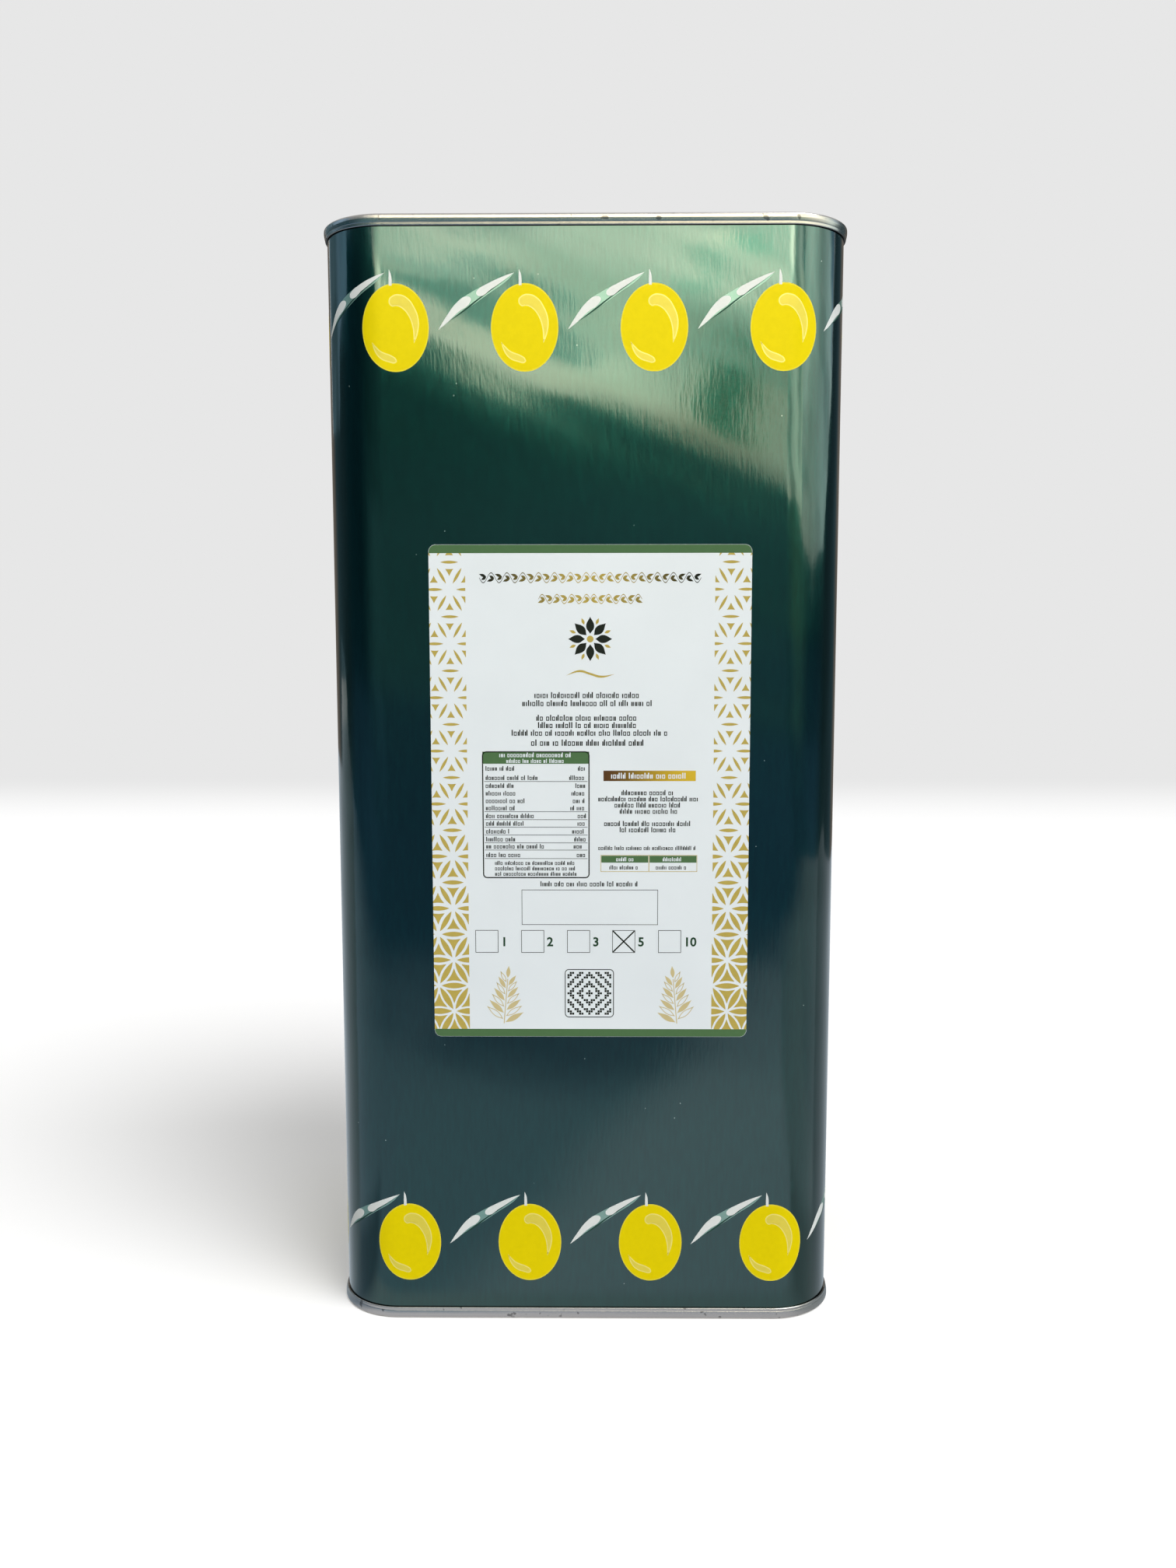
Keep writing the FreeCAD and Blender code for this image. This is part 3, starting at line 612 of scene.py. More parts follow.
def end_section(settings, level):
    """Section of a pressed end, from its panel over the ring, groove and chuck wall to the seam."""
    sheet = settings.sheet / MM
    seam = settings.seam_height / MM
    panel = TIN_HEIGHT - PANEL_LEVEL
    step, bend, film = 1.27, 0.58, 0.04
    ring, groove = panel + step, panel + 2 * step
    panel_edge, ring_edge = -7.98, -3.71
    margin = panel_edge - 1.0
    chuck = -2 * sheet - film
    crest_bend, knee_bend, hook_bend, line_bend, lip_bend = 0.63, 1.5, 0.28, 0.05, 0.06
    # The face leans in towards its hook, and the seaming roll leaves a line on it
    knee, line, mark, lean = 1.3, 2.32, 0.13, 0.34
    above_line, at_line, below_line = (SEAM_PROUD - inset for inset in (0.16, 0.25, 0.27))
    slot, crevice, hook = 1.3, 0.2, 0.5
    points = [
        (margin, panel),
        (panel_edge, panel, bend),
        (panel_edge, ring, bend),
        (ring_edge, ring, bend),
        (ring_edge, groove, bend),
        (chuck, groove, bend),
        (chuck, 0, crest_bend),
        (SEAM_PROUD, 0, crest_bend),
        (SEAM_PROUD, knee, knee_bend),
        (above_line, line - mark),
        (at_line, line, line_bend),
        (below_line, line + mark),
        (SEAM_PROUD - lean, seam, hook_bend),
        (crevice, seam, lip_bend),
        (crevice, seam - hook),
        (film, seam - hook),
        (film, slot),
        (chuck + sheet, slot),
        (chuck + sheet, groove + sheet, bend),
        (ring_edge - sheet, groove + sheet, bend),
        (ring_edge - sheet, ring + sheet, bend),
        (panel_edge - sheet, ring + sheet, bend),
        (panel_edge - sheet, panel + sheet, bend),
        (margin, panel + sheet),
    ]
    return [(point[0], level(point[1]), *point[2:]) for point in points]


def sweep_end(settings, level):
    return WallOutline(settings).sweep(draw_section(end_section(settings, level), closed=False))


def open_loops(bm, level):
    """The open edges that lie at a height."""
    return [edge for edge in bm.edges
            if edge.is_boundary and all(abs(vert.co.z - level) < MERGE_DISTANCE for vert in edge.verts)]


def make_top_end(settings, finish):
    """The top end, whose panel has a neck drawn up and curled for the spout."""
    sheet = settings.sheet / MM
    end = sweep_end(settings, lambda depth: TIN_HEIGHT - depth)
    neck, curl, flare = 17.0, 18.5, 1.2
    bend, curl_bend, tuck_bend = 0.8, 0.6, 0.3
    top, tuck = TIN_HEIGHT, TIN_HEIGHT - 1.7
    under = PANEL_LEVEL - sheet
    rise = draw_section([
        (neck + flare, PANEL_LEVEL), (neck, PANEL_LEVEL, bend), (neck, tuck, tuck_bend),
        (curl, tuck, curl_bend), (curl, top, bend), (neck - sheet, top, bend), (neck - sheet, under, bend),
        (neck + flare, under)], closed=False)
    add_part(end, turn_section(rise))
    for level in (PANEL_LEVEL, under):
        bmesh.ops.triangle_fill(end, use_beauty=True, edges=open_loops(end, level))
    finish_piece(end, "top_end_pressing", "tin", finish, ["top_end"])


def make_bottom_end(settings, finish):
    end = sweep_end(settings, lambda depth: depth)
    panel = TIN_HEIGHT - PANEL_LEVEL
    for level in (panel, panel + settings.sheet / MM):
        bmesh.ops.edgeloop_fill(end, edges=open_loops(end, level))
    finish_piece(end, "bottom_end_pressing", "tin", finish, ["bottom_end"])


# Olive print

def fill_outline(points, pointed=()):
    """A smooth filled outline through points, which stays sharp at the pointed ones."""
    curve = bpy.data.curves.new("outline", "CURVE")
    curve.dimensions = "2D"
    curve.fill_mode = "BOTH"
    spline = curve.splines.new("BEZIER")
    spline.bezier_points.add(len(points) - 1)
    spline.use_cyclic_u = True
    spline.resolution_u = 6
    for index, (knot, point) in enumerate(zip(spline.bezier_points, points)):
        knot.co = (*point, 0)
        knot.handle_left_type = knot.handle_right_type = "VECTOR" if index in pointed else "AUTO"
    return flat_mesh(curve)


def flat_mesh(curve):
    """The faces of a filled curve or text, as a mesh to draw with."""
    holder = bpy.data.objects.new("flat", curve)
    mesh = bpy.data.meshes.new_from_object(holder)
    bpy.data.objects.remove(holder)
    bpy.data.curves.remove(curve)
    bm = bmesh.new()
    bm.from_mesh(mesh)
    bpy.data.meshes.remove(mesh)
    bmesh.ops.remove_doubles(bm, verts=bm.verts, dist=MERGE_DISTANCE)
    face_up(bm)
    return bm


def draw_fruit(settings):
    """The olive with its pale rim."""
    bm = bmesh.new()
    bmesh.ops.create_circle(bm, cap_ends=True, radius=0.5, segments=64)
    bmesh.ops.scale(bm, verts=bm.verts, vec=(settings.width / MM, settings.height / MM, 1))
    return bm


def draw_flesh(settings):
    """The olive inside its rim."""
    bm = draw_fruit(settings)
    rim = 1 - 2 * settings.rim / settings.width
    bmesh.ops.scale(bm, verts=bm.verts, vec=(rim, rim, 1))
    return bm


def draw_gleams():
    """A crescent at the upper right of the olive and a short stroke at its lower left."""
    bm = fill_outline([(-1.7, 7.3), (-0.6, 8.7), (1.4, 9.0), (3.6, 8.0), (5.4, 5.6), (6.6, 2.2), (6.2, -1.8),
                       (5.2, -4.2), (4.8, 0.4), (3.5, 3.6), (1.9, 5.3), (0.4, 5.9), (-0.9, 5.8)], (7,))
    add_part(bm, fill_outline([(-6.6, -3.8), (-5.9, -6.2), (-4.4, -8.2), (-2.2, -9.2), (0.2, -9.3),
                               (0.1, -8.4), (-0.9, -7.6), (-4.2, -6.2), (-5.1, -5.4)], (0,)))
    return bm


def draw_gleam_hearts():
    """The gleams inside their pale edge."""
    edge = 0.3
    bm = draw_gleams()
    made = bmesh.ops.inset_region(bm, faces=bm.faces[:], thickness=edge, use_boundary=True,
                                  use_even_offset=True)
    bmesh.ops.delete(bm, geom=made["faces"], context="FACES")
    return bm


def draw_leaf():
    """The leaf's whole blade, which shows below its bright lobes and between them."""
    return fill_outline([(-24.0, -0.5), (-22.0, 2.7), (-18.6, 7.0), (-15.0, 9.4), (-10.7, 11.6), (-5.3, 14.0),
                         (-2.8, 14.8), (-4.9, 12.6), (-9.6, 9.4), (-14.7, 5.9), (-19.4, 2.9)], (0, 6))


def draw_leaf_vein():
    return fill_outline([(-21.4, 1.5), (-17.0, 4.8), (-12.4, 8.2), (-4.3, 13.5), (-12.2, 7.9), (-16.8, 4.4)],
                        (0, 3))


def draw_leaf_lobes():
    """The two bright lobes of the leaf and the stem of the olive."""
    bm = fill_outline([(-24.0, -0.5), (-22.0, 2.7), (-18.6, 7.0), (-16.3, 8.4), (-15.0, 8.0), (-15.1, 6.9),
                       (-18.6, 4.1), (-22.0, 1.0)], (0,))
    add_part(bm, fill_outline([(-13.4, 9.3), (-12.6, 10.5), (-10.7, 11.6), (-5.3, 14.0), (-2.8, 14.8),
                               (-4.9, 13.3), (-9.2, 10.4), (-12.7, 8.5)], (4,)))
    add_part(bm, fill_outline([(-1.6, 11.4), (-0.8, 11.4), (-0.8, 13.2), (-1.0, 14.5), (-1.5, 15.7),
                               (-1.6, 13.5)], (0, 1, 4)))
    return bm


def make_olive_rows(settings, wall):
    """Two rows of olives with their leaves, printed once round the tin."""
    outline = WallOutline(wall)
    pitch = outline.length / settings.count
    sink = 0.02
    # What is printed: drawing, ink, its share of the sheet's shine and its lift off the wall
    prints = (
        ("leaf_print", draw_leaf(), "leaf_ink", settings.leaf, 0.5, 0.03),
        ("leaf_vein_print", draw_leaf_vein(), "vein_ink", settings.vein, 0.28, 0.04),
        ("leaf_lobe_print", draw_leaf_lobes(), "lobe_ink", settings.lobe, 0.06, 0.05),
        ("olive_rim_print", draw_fruit(settings), "rim_ink", settings.rim_colour, 0.05, 0.03),
        ("olive_print", draw_flesh(settings), "olive_ink", settings.fruit, 0.045, 0.04),
        ("gleam_edge_print", draw_gleams(), "gleam_edge_ink", settings.gleam_edge, 0.14, 0.05),
        ("gleam_print", draw_gleam_hearts(), "gleam_ink", settings.gleam, 0.1, 0.06),
    )
    for name, drawing, ink, colour, shine, lift in prints:
        bm = bmesh.new()
        for row in (settings.low_row / MM, settings.high_row / MM):
            for index in range(settings.count):
                along = outline.nearest(settings.first / MM + index * pitch)
                add_part(bm, drawing.copy(), moved(along, row))
        drawing.free()
        outline.wrap(bm, lift, lift + sink)
        finish_piece(bm, name, "tin", tin_ink(ink, colour, shine))


# Label

# Heights of the strips' inner edges above the tin's base, and lifts of the print off the film
STRIP_TOP, STRIP_FOOT = 227.6, 89.3
LOW_LAYER, HIGH_LAYER = 0.02, 0.035
SINK = 0.01

# Rectangles on the label: left, foot, right and head, from the label's middle and the tin's base
TABLE = (-31.2, 134.3, -0.2, 171.3)
DATE_BOX = (-20.0, 120.5, 19.7, 130.9)
SHADED_BAR = (3.8, 162.7, 30.4, 165.7)
GOLD_FRAME = (3.0, 136.2, 31.0, 141.1)
GOLD_DIVIDER = (16.9, 136.4, 17.1, 141.0)
COLUMN_HEADS = ((3.2, 138.9, 16.8, 140.9), (17.2, 138.9, 30.8, 140.9))
TILE_FRAME = (-7.5, 92.8, 6.9, 107.3)

TABLE_HEAD = 167.7
TABLE_RULES = (162.5, 153.7, 151.4, 149.2, 146.9, 144.6, 142.5, 140.0)
TABLE_ROWS = (165.2, 160.2, 158.0, 155.8)
TABLE_NOTES = (138.2, 136.6, 135.0)
CHECK_BOXES = (-33.6, -20.2, -6.8, 6.4, 19.8)
NUMBERS = ("1", "2", "3", "5", "10")
CROSSED = 3
BOX_SIZE, BOX_FOOT = 6.7, 112.2

# Rows of blind type: left end, right end, base and height
TEXT_ROWS = (
    (-16.0, 14.5, 186.6, 1.7), (-19.5, 18.5, 184.3, 1.7), (-15.5, 14.5, 180.1, 1.7),
    (-15.0, 14.0, 178.0, 1.7), (-22.6, 22.6, 175.8, 1.7), (-17.0, 17.0, 172.9, 1.8),
    (9.0, 24.5, 158.6, 1.5), (2.3, 31.5, 156.8, 1.5), (7.0, 26.5, 155.0, 1.5), (8.5, 25.5, 153.2, 1.5),
    (4.0, 29.5, 149.6, 1.5), (8.5, 25.0, 147.8, 1.5), (2.3, 31.0, 142.6, 1.2), (-14.5, 14.5, 131.9, 1.5),
    (5.5, 14.0, 136.9, 1.2), (19.0, 28.0, 136.9, 1.2),
)
# Rows left white in the green heads and on the shaded bar
WHITE_ROWS = (
    (-26.2, -5.2, 169.6, 1.35), (-24.2, -7.2, 167.95, 1.2), (7.5, 13.0, 139.3, 1.2), (21.0, 27.0, 139.3, 1.2),
    (6.0, 28.4, 163.4, 1.7),
)


def bar(left, low, right, high):
    bm = bmesh.new()
    bmesh.ops.create_grid(bm, x_segments=1, y_segments=1, size=0.5)
    bmesh.ops.scale(bm, verts=bm.verts, vec=(right - left, high - low, 1))
    bmesh.ops.translate(bm, verts=bm.verts, vec=((left + right) / 2, (low + high) / 2, 0))
    return bm


def hollow(bm, line, even=False):
    """Leaves only a line along the outline of a flat drawing."""
    inside = bm.faces[:]
    bmesh.ops.inset_region(bm, faces=inside, thickness=line, use_boundary=True, use_even_offset=even)
    bmesh.ops.delete(bm, geom=inside, context="FACES")


def outline_frame(left, low, right, high, line, radius=0.0):
    """A line round a rectangle, with rounded corners where a radius is given."""
    bm = bar(left, low, right, high)
    if radius:
        bevel(bm, bm.verts[:], radius, BEND_STEPS, "VERTICES")
    hollow(bm, line)
    return bm


def blind_sign(bm, across, base, height, dice):
    """Adds one sign of blind type, which is no letter, and returns its width."""
    line, low = height * 0.2, height * 0.7
    kind = dice.randrange(6)
    if kind < 2:
        width = height * 0.5
        add_part(bm, outline_frame(across, base, across + width, base + low, line))
    elif kind < 4:
        width = line
        add_part(bm, bar(across, base, across + width, base + (height if kind == 2 else low)))
    else:
        width = height * 0.45
        add_part(bm, bar(across, base, across + line, base + low))
        add_part(bm, bar(across + width - line, base, across + width, base + (low if kind == 4 else height)))
    return width


def blind_row(bm, left, right, base, height, dice):
    """A row of blind type in word groups, which spells nothing."""
    gap, space, last = height * 0.16, height * 0.4, right - height / 2
    across = left
    while across < last:
        for _ in range(dice.randint(2, 9)):
            if across > last:
                break
            across += blind_sign(bm, across, base, height, dice) + gap
        across += space


def press_on_label(bm, name, finish, lift=LOW_LAYER):
    """Lays a flat print, drawn as (right of the label's middle, height), on the label."""
    face_up(bm)
    bmesh.ops.solidify(bm, geom=bm.faces[:], thickness=lift + SINK)
    for vert in bm.verts:
        vert.co = (LABEL_X + vert.co.x, -LABEL_FRONT - lift - vert.co.z, vert.co.y)
    finish_piece(bm, name, "tin", finish)


def make_label_ground(settings):
    """The label's film with its green strips."""
    coat_node("front_label", label_film(settings.paper))
    edge, corner = 0.06, 1.94
    side, head, foot = LABEL_HALF - edge, LABEL_HIGH.z - edge, LABEL_LOW.z + edge
    green = draw_outline([(-side, STRIP_TOP), (side, STRIP_TOP), (side, head, corner), (-side, head, corner)])
    add_part(green, draw_outline([(-side, foot, corner), (side, foot, corner), (side, STRIP_FOOT),
                                  (-side, STRIP_FOOT)]))
    press_on_label(green, "label_strips", printed_ink("label_green_ink", settings.green))


def draw_petal(radius, line):
    """The lens where two rings overlap, less half their line."""
    bm = bmesh.new()
    chord = radius * math.sqrt(3) / 2
    bmesh.ops.create_circle(bm, cap_ends=True, radius=radius - line / 2, segments=96)
    bmesh.ops.bisect_plane(bm, geom=whole(bm), plane_co=(0, chord, 0), plane_no=(0, -1, 0), clear_outer=True)
    bmesh.ops.translate(bm, verts=bm.verts, vec=(0, -chord, 0))
    bmesh.ops.mirror(bm, geom=whole(bm), axis="Y", merge_dist=MERGE_DISTANCE)
    return bm


def draw_web(radius, line):
    """The hollow-sided triangle that three rings leave between them, less half their line."""
    centre, reach = radius * 2 / math.sqrt(3), radius + line / 2
    tip, waist = centre / 2 - math.sqrt(reach * reach - radius * radius), centre - reach
    corners = []
    for index in range(6):
        angle = index * FULL_TURN / 6
        out = waist if index % 2 else tip
        corners.append((out * math.cos(angle), out * math.sin(angle)))
    return fill_outline(corners, (0, 2, 4))


def make_label_lattice(settings):
    """Gold petals and webs between overlapping rings, an old six-petal ornament, down both edges."""
    radius = settings.ring_radius / MM
    thin, thick = settings.ring_thin / MM, settings.ring_thick / MM
    inner = settings.band_inner / MM
    column, foot, growth = 40.0, 94.65, 70.0
    rise = radius * math.sqrt(3) / 2
    rows = int((STRIP_TOP - STRIP_FOOT) / rise) + 2
    lattice = bmesh.new()
    for row in range(-1, rows):
        height = foot + row * rise
        line = thin + (thick - thin) * min(max((height - foot) / growth, 0), 1)
        for step in (-1, 0, 1):
            node = moved(column + radius * (step + 0.5 * (row % 2)), height)
            for angle in (0, 60, 120):
                add_part(lattice, draw_petal(radius, line), node @ turned(angle) @ moved(radius / 2, 0))
            for angle in (30, 90):
                place = node @ turned(angle) @ moved(radius / math.sqrt(3), 0) @ turned(180)
                add_part(lattice, draw_web(radius, line), place)
    for place, normal in (((inner, 0, 0), (-1, 0, 0)), ((LABEL_HALF, 0, 0), (1, 0, 0)),
                          ((0, STRIP_FOOT, 0), (0, -1, 0)), ((0, STRIP_TOP, 0), (0, 1, 0))):
        bmesh.ops.bisect_plane(lattice, geom=whole(lattice), plane_co=place, plane_no=normal,
                               clear_outer=True)
    bmesh.ops.mirror(lattice, geom=whole(lattice), axis="X")
    press_on_label(lattice, "label_lattice", printed_ink("label_gold_ink", settings.gold, mottle=0.1))


def draw_dark_type(dice):
    """The table's lines, the boxes and frames, and the dark rows of blind type."""
    left, _, right, _ = TABLE
    rule_line, rule_inset, indent, note_indent = 0.14, 0.6, 1.0, 3.5
    row_lift, row_type, note_type = 0.5, 1.35, 1.2
    dark = outline_frame(*TABLE, line=0.34, radius=1.2)
    for rule in TABLE_RULES:
        add_part(dark, bar(left + rule_inset, rule, right - rule_inset, rule + rule_line))
    for step in sorted((*TABLE_RULES, *TABLE_ROWS)):
        words_end, figures_end = left + dice.uniform(7.0, 19.0), right - 0.9
        blind_row(dark, left + indent, words_end, step + row_lift, row_type, dice)
        blind_row(dark, right - dice.uniform(3.0, 6.0), figures_end, step + row_lift, row_type, dice)
    for base in TABLE_NOTES:
        blind_row(dark, left + note_indent, right - note_indent, base, note_type, dice)
    for row in TEXT_ROWS:
        blind_row(dark, *row, dice)
    add_part(dark, outline_frame(*DATE_BOX, line=0.2))
    for box in CHECK_BOXES:
        add_part(dark, outline_frame(box, BOX_FOOT, box + BOX_SIZE, BOX_FOOT + BOX_SIZE, line=0.22))
    reach, half_line = BOX_SIZE * 0.66, 0.2
    middle = moved(CHECK_BOXES[CROSSED] + BOX_SIZE / 2, BOX_FOOT + BOX_SIZE / 2)
    for lean in (45, -45):
        add_part(dark, bar(-reach, -half_line, reach, half_line), middle @ turned(lean))
    add_part(dark, outline_frame(*TILE_FRAME, line=0.24, radius=1.2))
    return dark


def draw_numbers():
    """The numbers beside the check boxes."""
    gap, lift = 0.8, 2.0
    numbers = bmesh.new()
    for box, number in zip(CHECK_BOXES, NUMBERS):
        text = bpy.data.curves.new("number", "FONT")
        text.body = number
        text.size = 3.7
        text.offset = 0.1
        text.fill_mode = "FRONT"
        text.resolution_u = 3
        add_part(numbers, flat_mesh(text), moved(box + BOX_SIZE + gap, BOX_FOOT + lift))
    return numbers


def make_label_panels(settings):
    """The table, bar, boxes, frames and rows of blind type."""
    dice = random.Random(7)
    press_on_label(draw_dark_type(dice), "label_type", printed_ink("label_dark_ink", settings.dark))
    press_on_label(draw_numbers(), "label_numbers", printed_ink("label_number_ink", settings.deep_green))

    left, _, right, high = TABLE
    inset = 0.1
    heads = bar(left + inset, TABLE_HEAD, right - inset, high - inset)
    for head in COLUMN_HEADS:
        add_part(heads, bar(*head))
    press_on_label(heads, "label_heads", bpy.data.materials["label_green_ink"])

    white = bmesh.new()
    for row in WHITE_ROWS:
        blind_row(white, *row, dice)
    paper = printed_ink("label_white_ink", settings.paper, mottle=0.03)
    press_on_label(white, "label_reversed_type", paper, HIGH_LAYER)

    gold = outline_frame(*GOLD_FRAME, line=0.2)
    add_part(gold, bar(*GOLD_DIVIDER))
    press_on_label(gold, "label_gold_frame", bpy.data.materials["label_gold_ink"])
    start, end = SHADED_BAR[0], SHADED_BAR[2]
    ink = shaded_ink("label_bar_ink", (settings.brown, settings.yellow), LABEL_X + start, LABEL_X + end)
    press_on_label(bar(*SHADED_BAR), "label_bar", ink)


def draw_blade(length, width):
    """A small leaf that points up from the origin."""
    half, widest = width / 2, length * 0.42
    return fill_outline([(0, 0), (half, widest), (0, length), (-half, widest)], (0, 2))


def draw_vine(half, level, period, sweep):
    """A waving stem that grows both ways from its middle, with a leaf in each of its bends."""
    steps, half_line = 16, 0.13
    shift, lift, width = 0.25, 0.3, 0.8
    bm = bmesh.new()
    for side in (-1, 1):
        last = None
        for step in range(int(half / period * steps) + 1):
            along = step * period / steps
            height = level + sweep * math.sin(FULL_TURN * along / period)
            pair = [bm.verts.new((side * along, height + edge, 0)) for edge in (-half_line, half_line)]
            if last:
                bm.faces.new((last[0], pair[0], pair[1], last[1]))
            last = pair
        for bend in range(int(2 * half / period)):
            rise = 1 if bend % 2 else -1
            place = moved(side * (bend * period / 2 + shift), level + rise * lift)
            for angle, length in ((70, 2.2), (124, 1.7)):
                lean = angle if rise > 0 else 180 - angle
                add_part(bm, draw_blade(length, width), place @ turned(-side * lean))
    return bm


def draw_sprig():
    """A twig with pairs of leaves, one of each pair drawn as an outline."""
    half_line, height, pairs, spacing, first = 0.13, 13.4, 7, 1.85, 0.8
    length, shorter, width, narrower = 6.2, 0.4, 1.6, 0.08
    out, stagger, lean, straighter, edge = 0.32, 0.45, 56, 4, 0.22
    bm = bar(-half_line, 0.0, half_line, height)
    for index in range(pairs):
        for side in (-1, 1):
            leaf = draw_blade(length - shorter * index, width - narrower * index)
            if (index + (side > 0)) % 2:
                bmesh.ops.dissolve_faces(leaf, faces=leaf.faces[:])
                hollow(leaf, edge, even=True)
            place = moved(side * out, first + index * spacing + stagger * side)
            add_part(bm, leaf, place @ turned(-side * (lean - straighter * index)))
    gap = 0.3
    add_part(bm, draw_blade(length=3.6, width=1.2), moved(0, height + gap))
    return bm


def draw_tiles():
    """A square of small tiles set in lozenge rings, with gaps at even places."""
    reach, pitch, half, across, up = 9, 0.68, 0.3, -0.3, 100.05
    tiles = bmesh.new()
    for row in range(-reach, reach + 1):
        for column in range(-reach, reach + 1):
            right, above = abs(column), abs(row)
            if (right + above) % 4 < 2 and not right % 4 == above % 4 == 2:
                x, y = across + column * pitch, up + row * pitch
                add_part(tiles, bar(x - half, y - half, x + half, y + half))
    return tiles


def make_label_ornaments(settings):
    """Plain ornaments: two garlands, a rosette, a flourish, two sprigs and a tiled square."""
    dark, gold = bpy.data.materials["label_dark_ink"], bpy.data.materials["label_gold_ink"]
    half = 31.5
    garlands = draw_vine(half, level=220.7, period=4.5, sweep=1.4)
    add_part(garlands, draw_vine(14.8, level=214.7, period=4.2, sweep=1.3))
    ink = shaded_ink("label_garland_ink", (settings.gold, settings.dark), LABEL_X - half, LABEL_X + half,
                     mirrored=True)
    press_on_label(garlands, "label_garlands", ink)

    middle, petals, petal_foot, spike_foot = moved(0, 203.4), 8, 1.5, 4.4
    rosette, heart = bmesh.new(), bmesh.new()
    bmesh.ops.create_circle(heart, cap_ends=True, radius=0.95, segments=24)
    bmesh.ops.transform(heart, verts=heart.verts, matrix=middle)
    for petal in range(petals):
        along = middle @ turned(petal * 360 / petals)
        add_part(rosette, draw_blade(length=4.8, width=2.3), along @ moved(0, petal_foot))
        between = along @ turned(180 / petals)
        add_part(heart, draw_blade(length=2.0, width=0.8), between @ moved(0, spike_foot))
    press_on_label(rosette, "label_rosette", dark)

    flourish = fill_outline([(-7.0, 193.0), (-3.0, 194.0), (0.0, 193.2), (3.0, 192.4), (7.0, 193.4),
                             (3.0, 193.0), (0.0, 193.8), (-3.0, 194.6)], (0, 4))
    add_part(flourish, heart)
    press_on_label(flourish, "label_flourish", gold)

    sprigs = bmesh.new()
    out, foot, lean = 25.4, 91.0, 5
    for side in (-1, 1):
        place = moved(side * out, foot) @ turned(side * lean)
        add_part(sprigs, draw_sprig(), place @ Matrix.Diagonal((side, 1, 1, 1)))
    press_on_label(sprigs, "label_sprigs", printed_ink("label_sprig_ink", settings.sprig))
    press_on_label(draw_tiles(), "label_tiles", dark)


# Spout and cap

# Usual rounding of the mouldings' edges, and how far their threads run and sink in
EASE, SOFT = 0.2, 0.3
THREAD_TURNS, THREAD_SINK = 0.85, 0.1


def thread_ridge(root, crest, low, pitch):
    """A thread's ridge wound about the spout's axis."""
    half, flat = 0.55, 0.55 / 3
    axis = (SPOUT_AXIS.x, SPOUT_AXIS.y, 0)
    bm = draw_section([(root, low - half), (crest, low - flat), (crest, low + flat), (root, low + half)])
    bmesh.ops.contextual_create(bm, geom=bm.edges[:])
    bmesh.ops.translate(bm, verts=bm.verts, vec=axis)
    bmesh.ops.spin(bm, geom=whole(bm), cent=axis, axis=(0, 0, 1), dvec=(0, 0, pitch / LATHE_STEPS),
                   angle=FULL_TURN * THREAD_TURNS, steps=int(LATHE_STEPS * THREAD_TURNS))
    return bm


def ring_of(part, count, radius):
    """Copies of a part, drawn at the origin, set round the spout's axis."""
    ring = bmesh.new()
    middle = moved(SPOUT_AXIS.x, SPOUT_AXIS.y)
    for index in range(count):
        add_part(ring, part.copy(), middle @ turned(index * 360 / count) @ moved(radius, 0))
    part.free()
    return ring


def make_collar(finish):
    """The snap-on collar, whose sleeve guides the spout."""
    top, foot, hem = COLLAR_HIGH.z, COLLAR_LOW.z, PANEL_LEVEL + 0.4
    under, stop = top - 1.4, foot + 1.3
    bore, guide, lip, sleeve, snap = 13.5, 15.28, 13.98, 16.58, 18.68
    skirt, skirt_round = COLLAR_HIGH.x - SPOUT_AXIS.x, 0.6
    groove_in, groove_out, slope, floor = 16.0, 18.7, 0.3, top - 0.5
    collar = draw_section([
        (bore, under), (guide, under), (guide, stop), (lip, stop), (lip, foot), (sleeve, foot),
        (sleeve, under), (snap, under), (snap, hem), (skirt, hem, EASE), (skirt, top, skirt_round),
        (groove_out, top, EASE), (groove_out - slope, floor, EASE), (groove_in + slope, floor, EASE),
        (groove_in, top, EASE), (bore, top, SOFT)])
    finish_piece(turn_section(collar), "collar_moulding", "tin", finish, ["spout_collar"])


def make_pull_spout(settings, finish):
    """The spout, with its stop flange, bead, thread and pouring lip."""
    low, top, bead = SPOUT_LOW.z, SPOUT_HIGH.z, CAP_LOW.z
    bore, flange, stem, bead_edge, neck, lip = 11.5, 14.98, 13.2, 13.75, 12.7, 13.4
    stop = low + 2.0
    bead_top, lip_foot, lip_side, thread = bead + 1.0, top - 1.2, top - 0.6, bead + 1.9
    lip_round, bore_round = 0.45, 0.5
    spout = draw_section([
        (bore, low), (flange, low, SOFT), (flange, stop), (stem, stop), (stem, bead), (bead_edge, bead, EASE),
        (neck, bead_top, EASE), (neck, lip_foot, SOFT), (lip, lip_side, EASE), (lip, top, lip_round),
        (bore, top, bore_round)])
    turn_section(spout)
    add_part(spout, thread_ridge(neck - THREAD_SINK, lip, thread, settings.thread_pitch / MM))
    finish_piece(spout, "spout_moulding", "spout", finish, ["pour_spout"])


def make_band(settings, finish):
    """The tamper band, with the bridges that hold it to the cap until the first turn."""
    inner, outer, groove = 13.35, BAND_HIGH.x - SPOUT_AXIS.x, 0.25
    low, high = BAND_LOW.z, BAND_HIGH.z
    middle = (low + high) / 2
    bridge, length, inset, sink = 0.28, 0.27, 0.5, 0.02
    band = draw_section([
        (inner, low), (outer, low, SOFT), (outer, middle - groove), (outer - groove, middle),
        (outer, middle + groove), (outer, high, EASE), (inner, high)])
    turn_section(band)
    bridges = ring_of(rod(bridge, length, 8), settings.bridges, outer - inset)
    add_part(band, bridges, moved(0, 0, high - sink))
    finish_piece(band, "band_moulding", "spout", finish, ["tamper_band"])


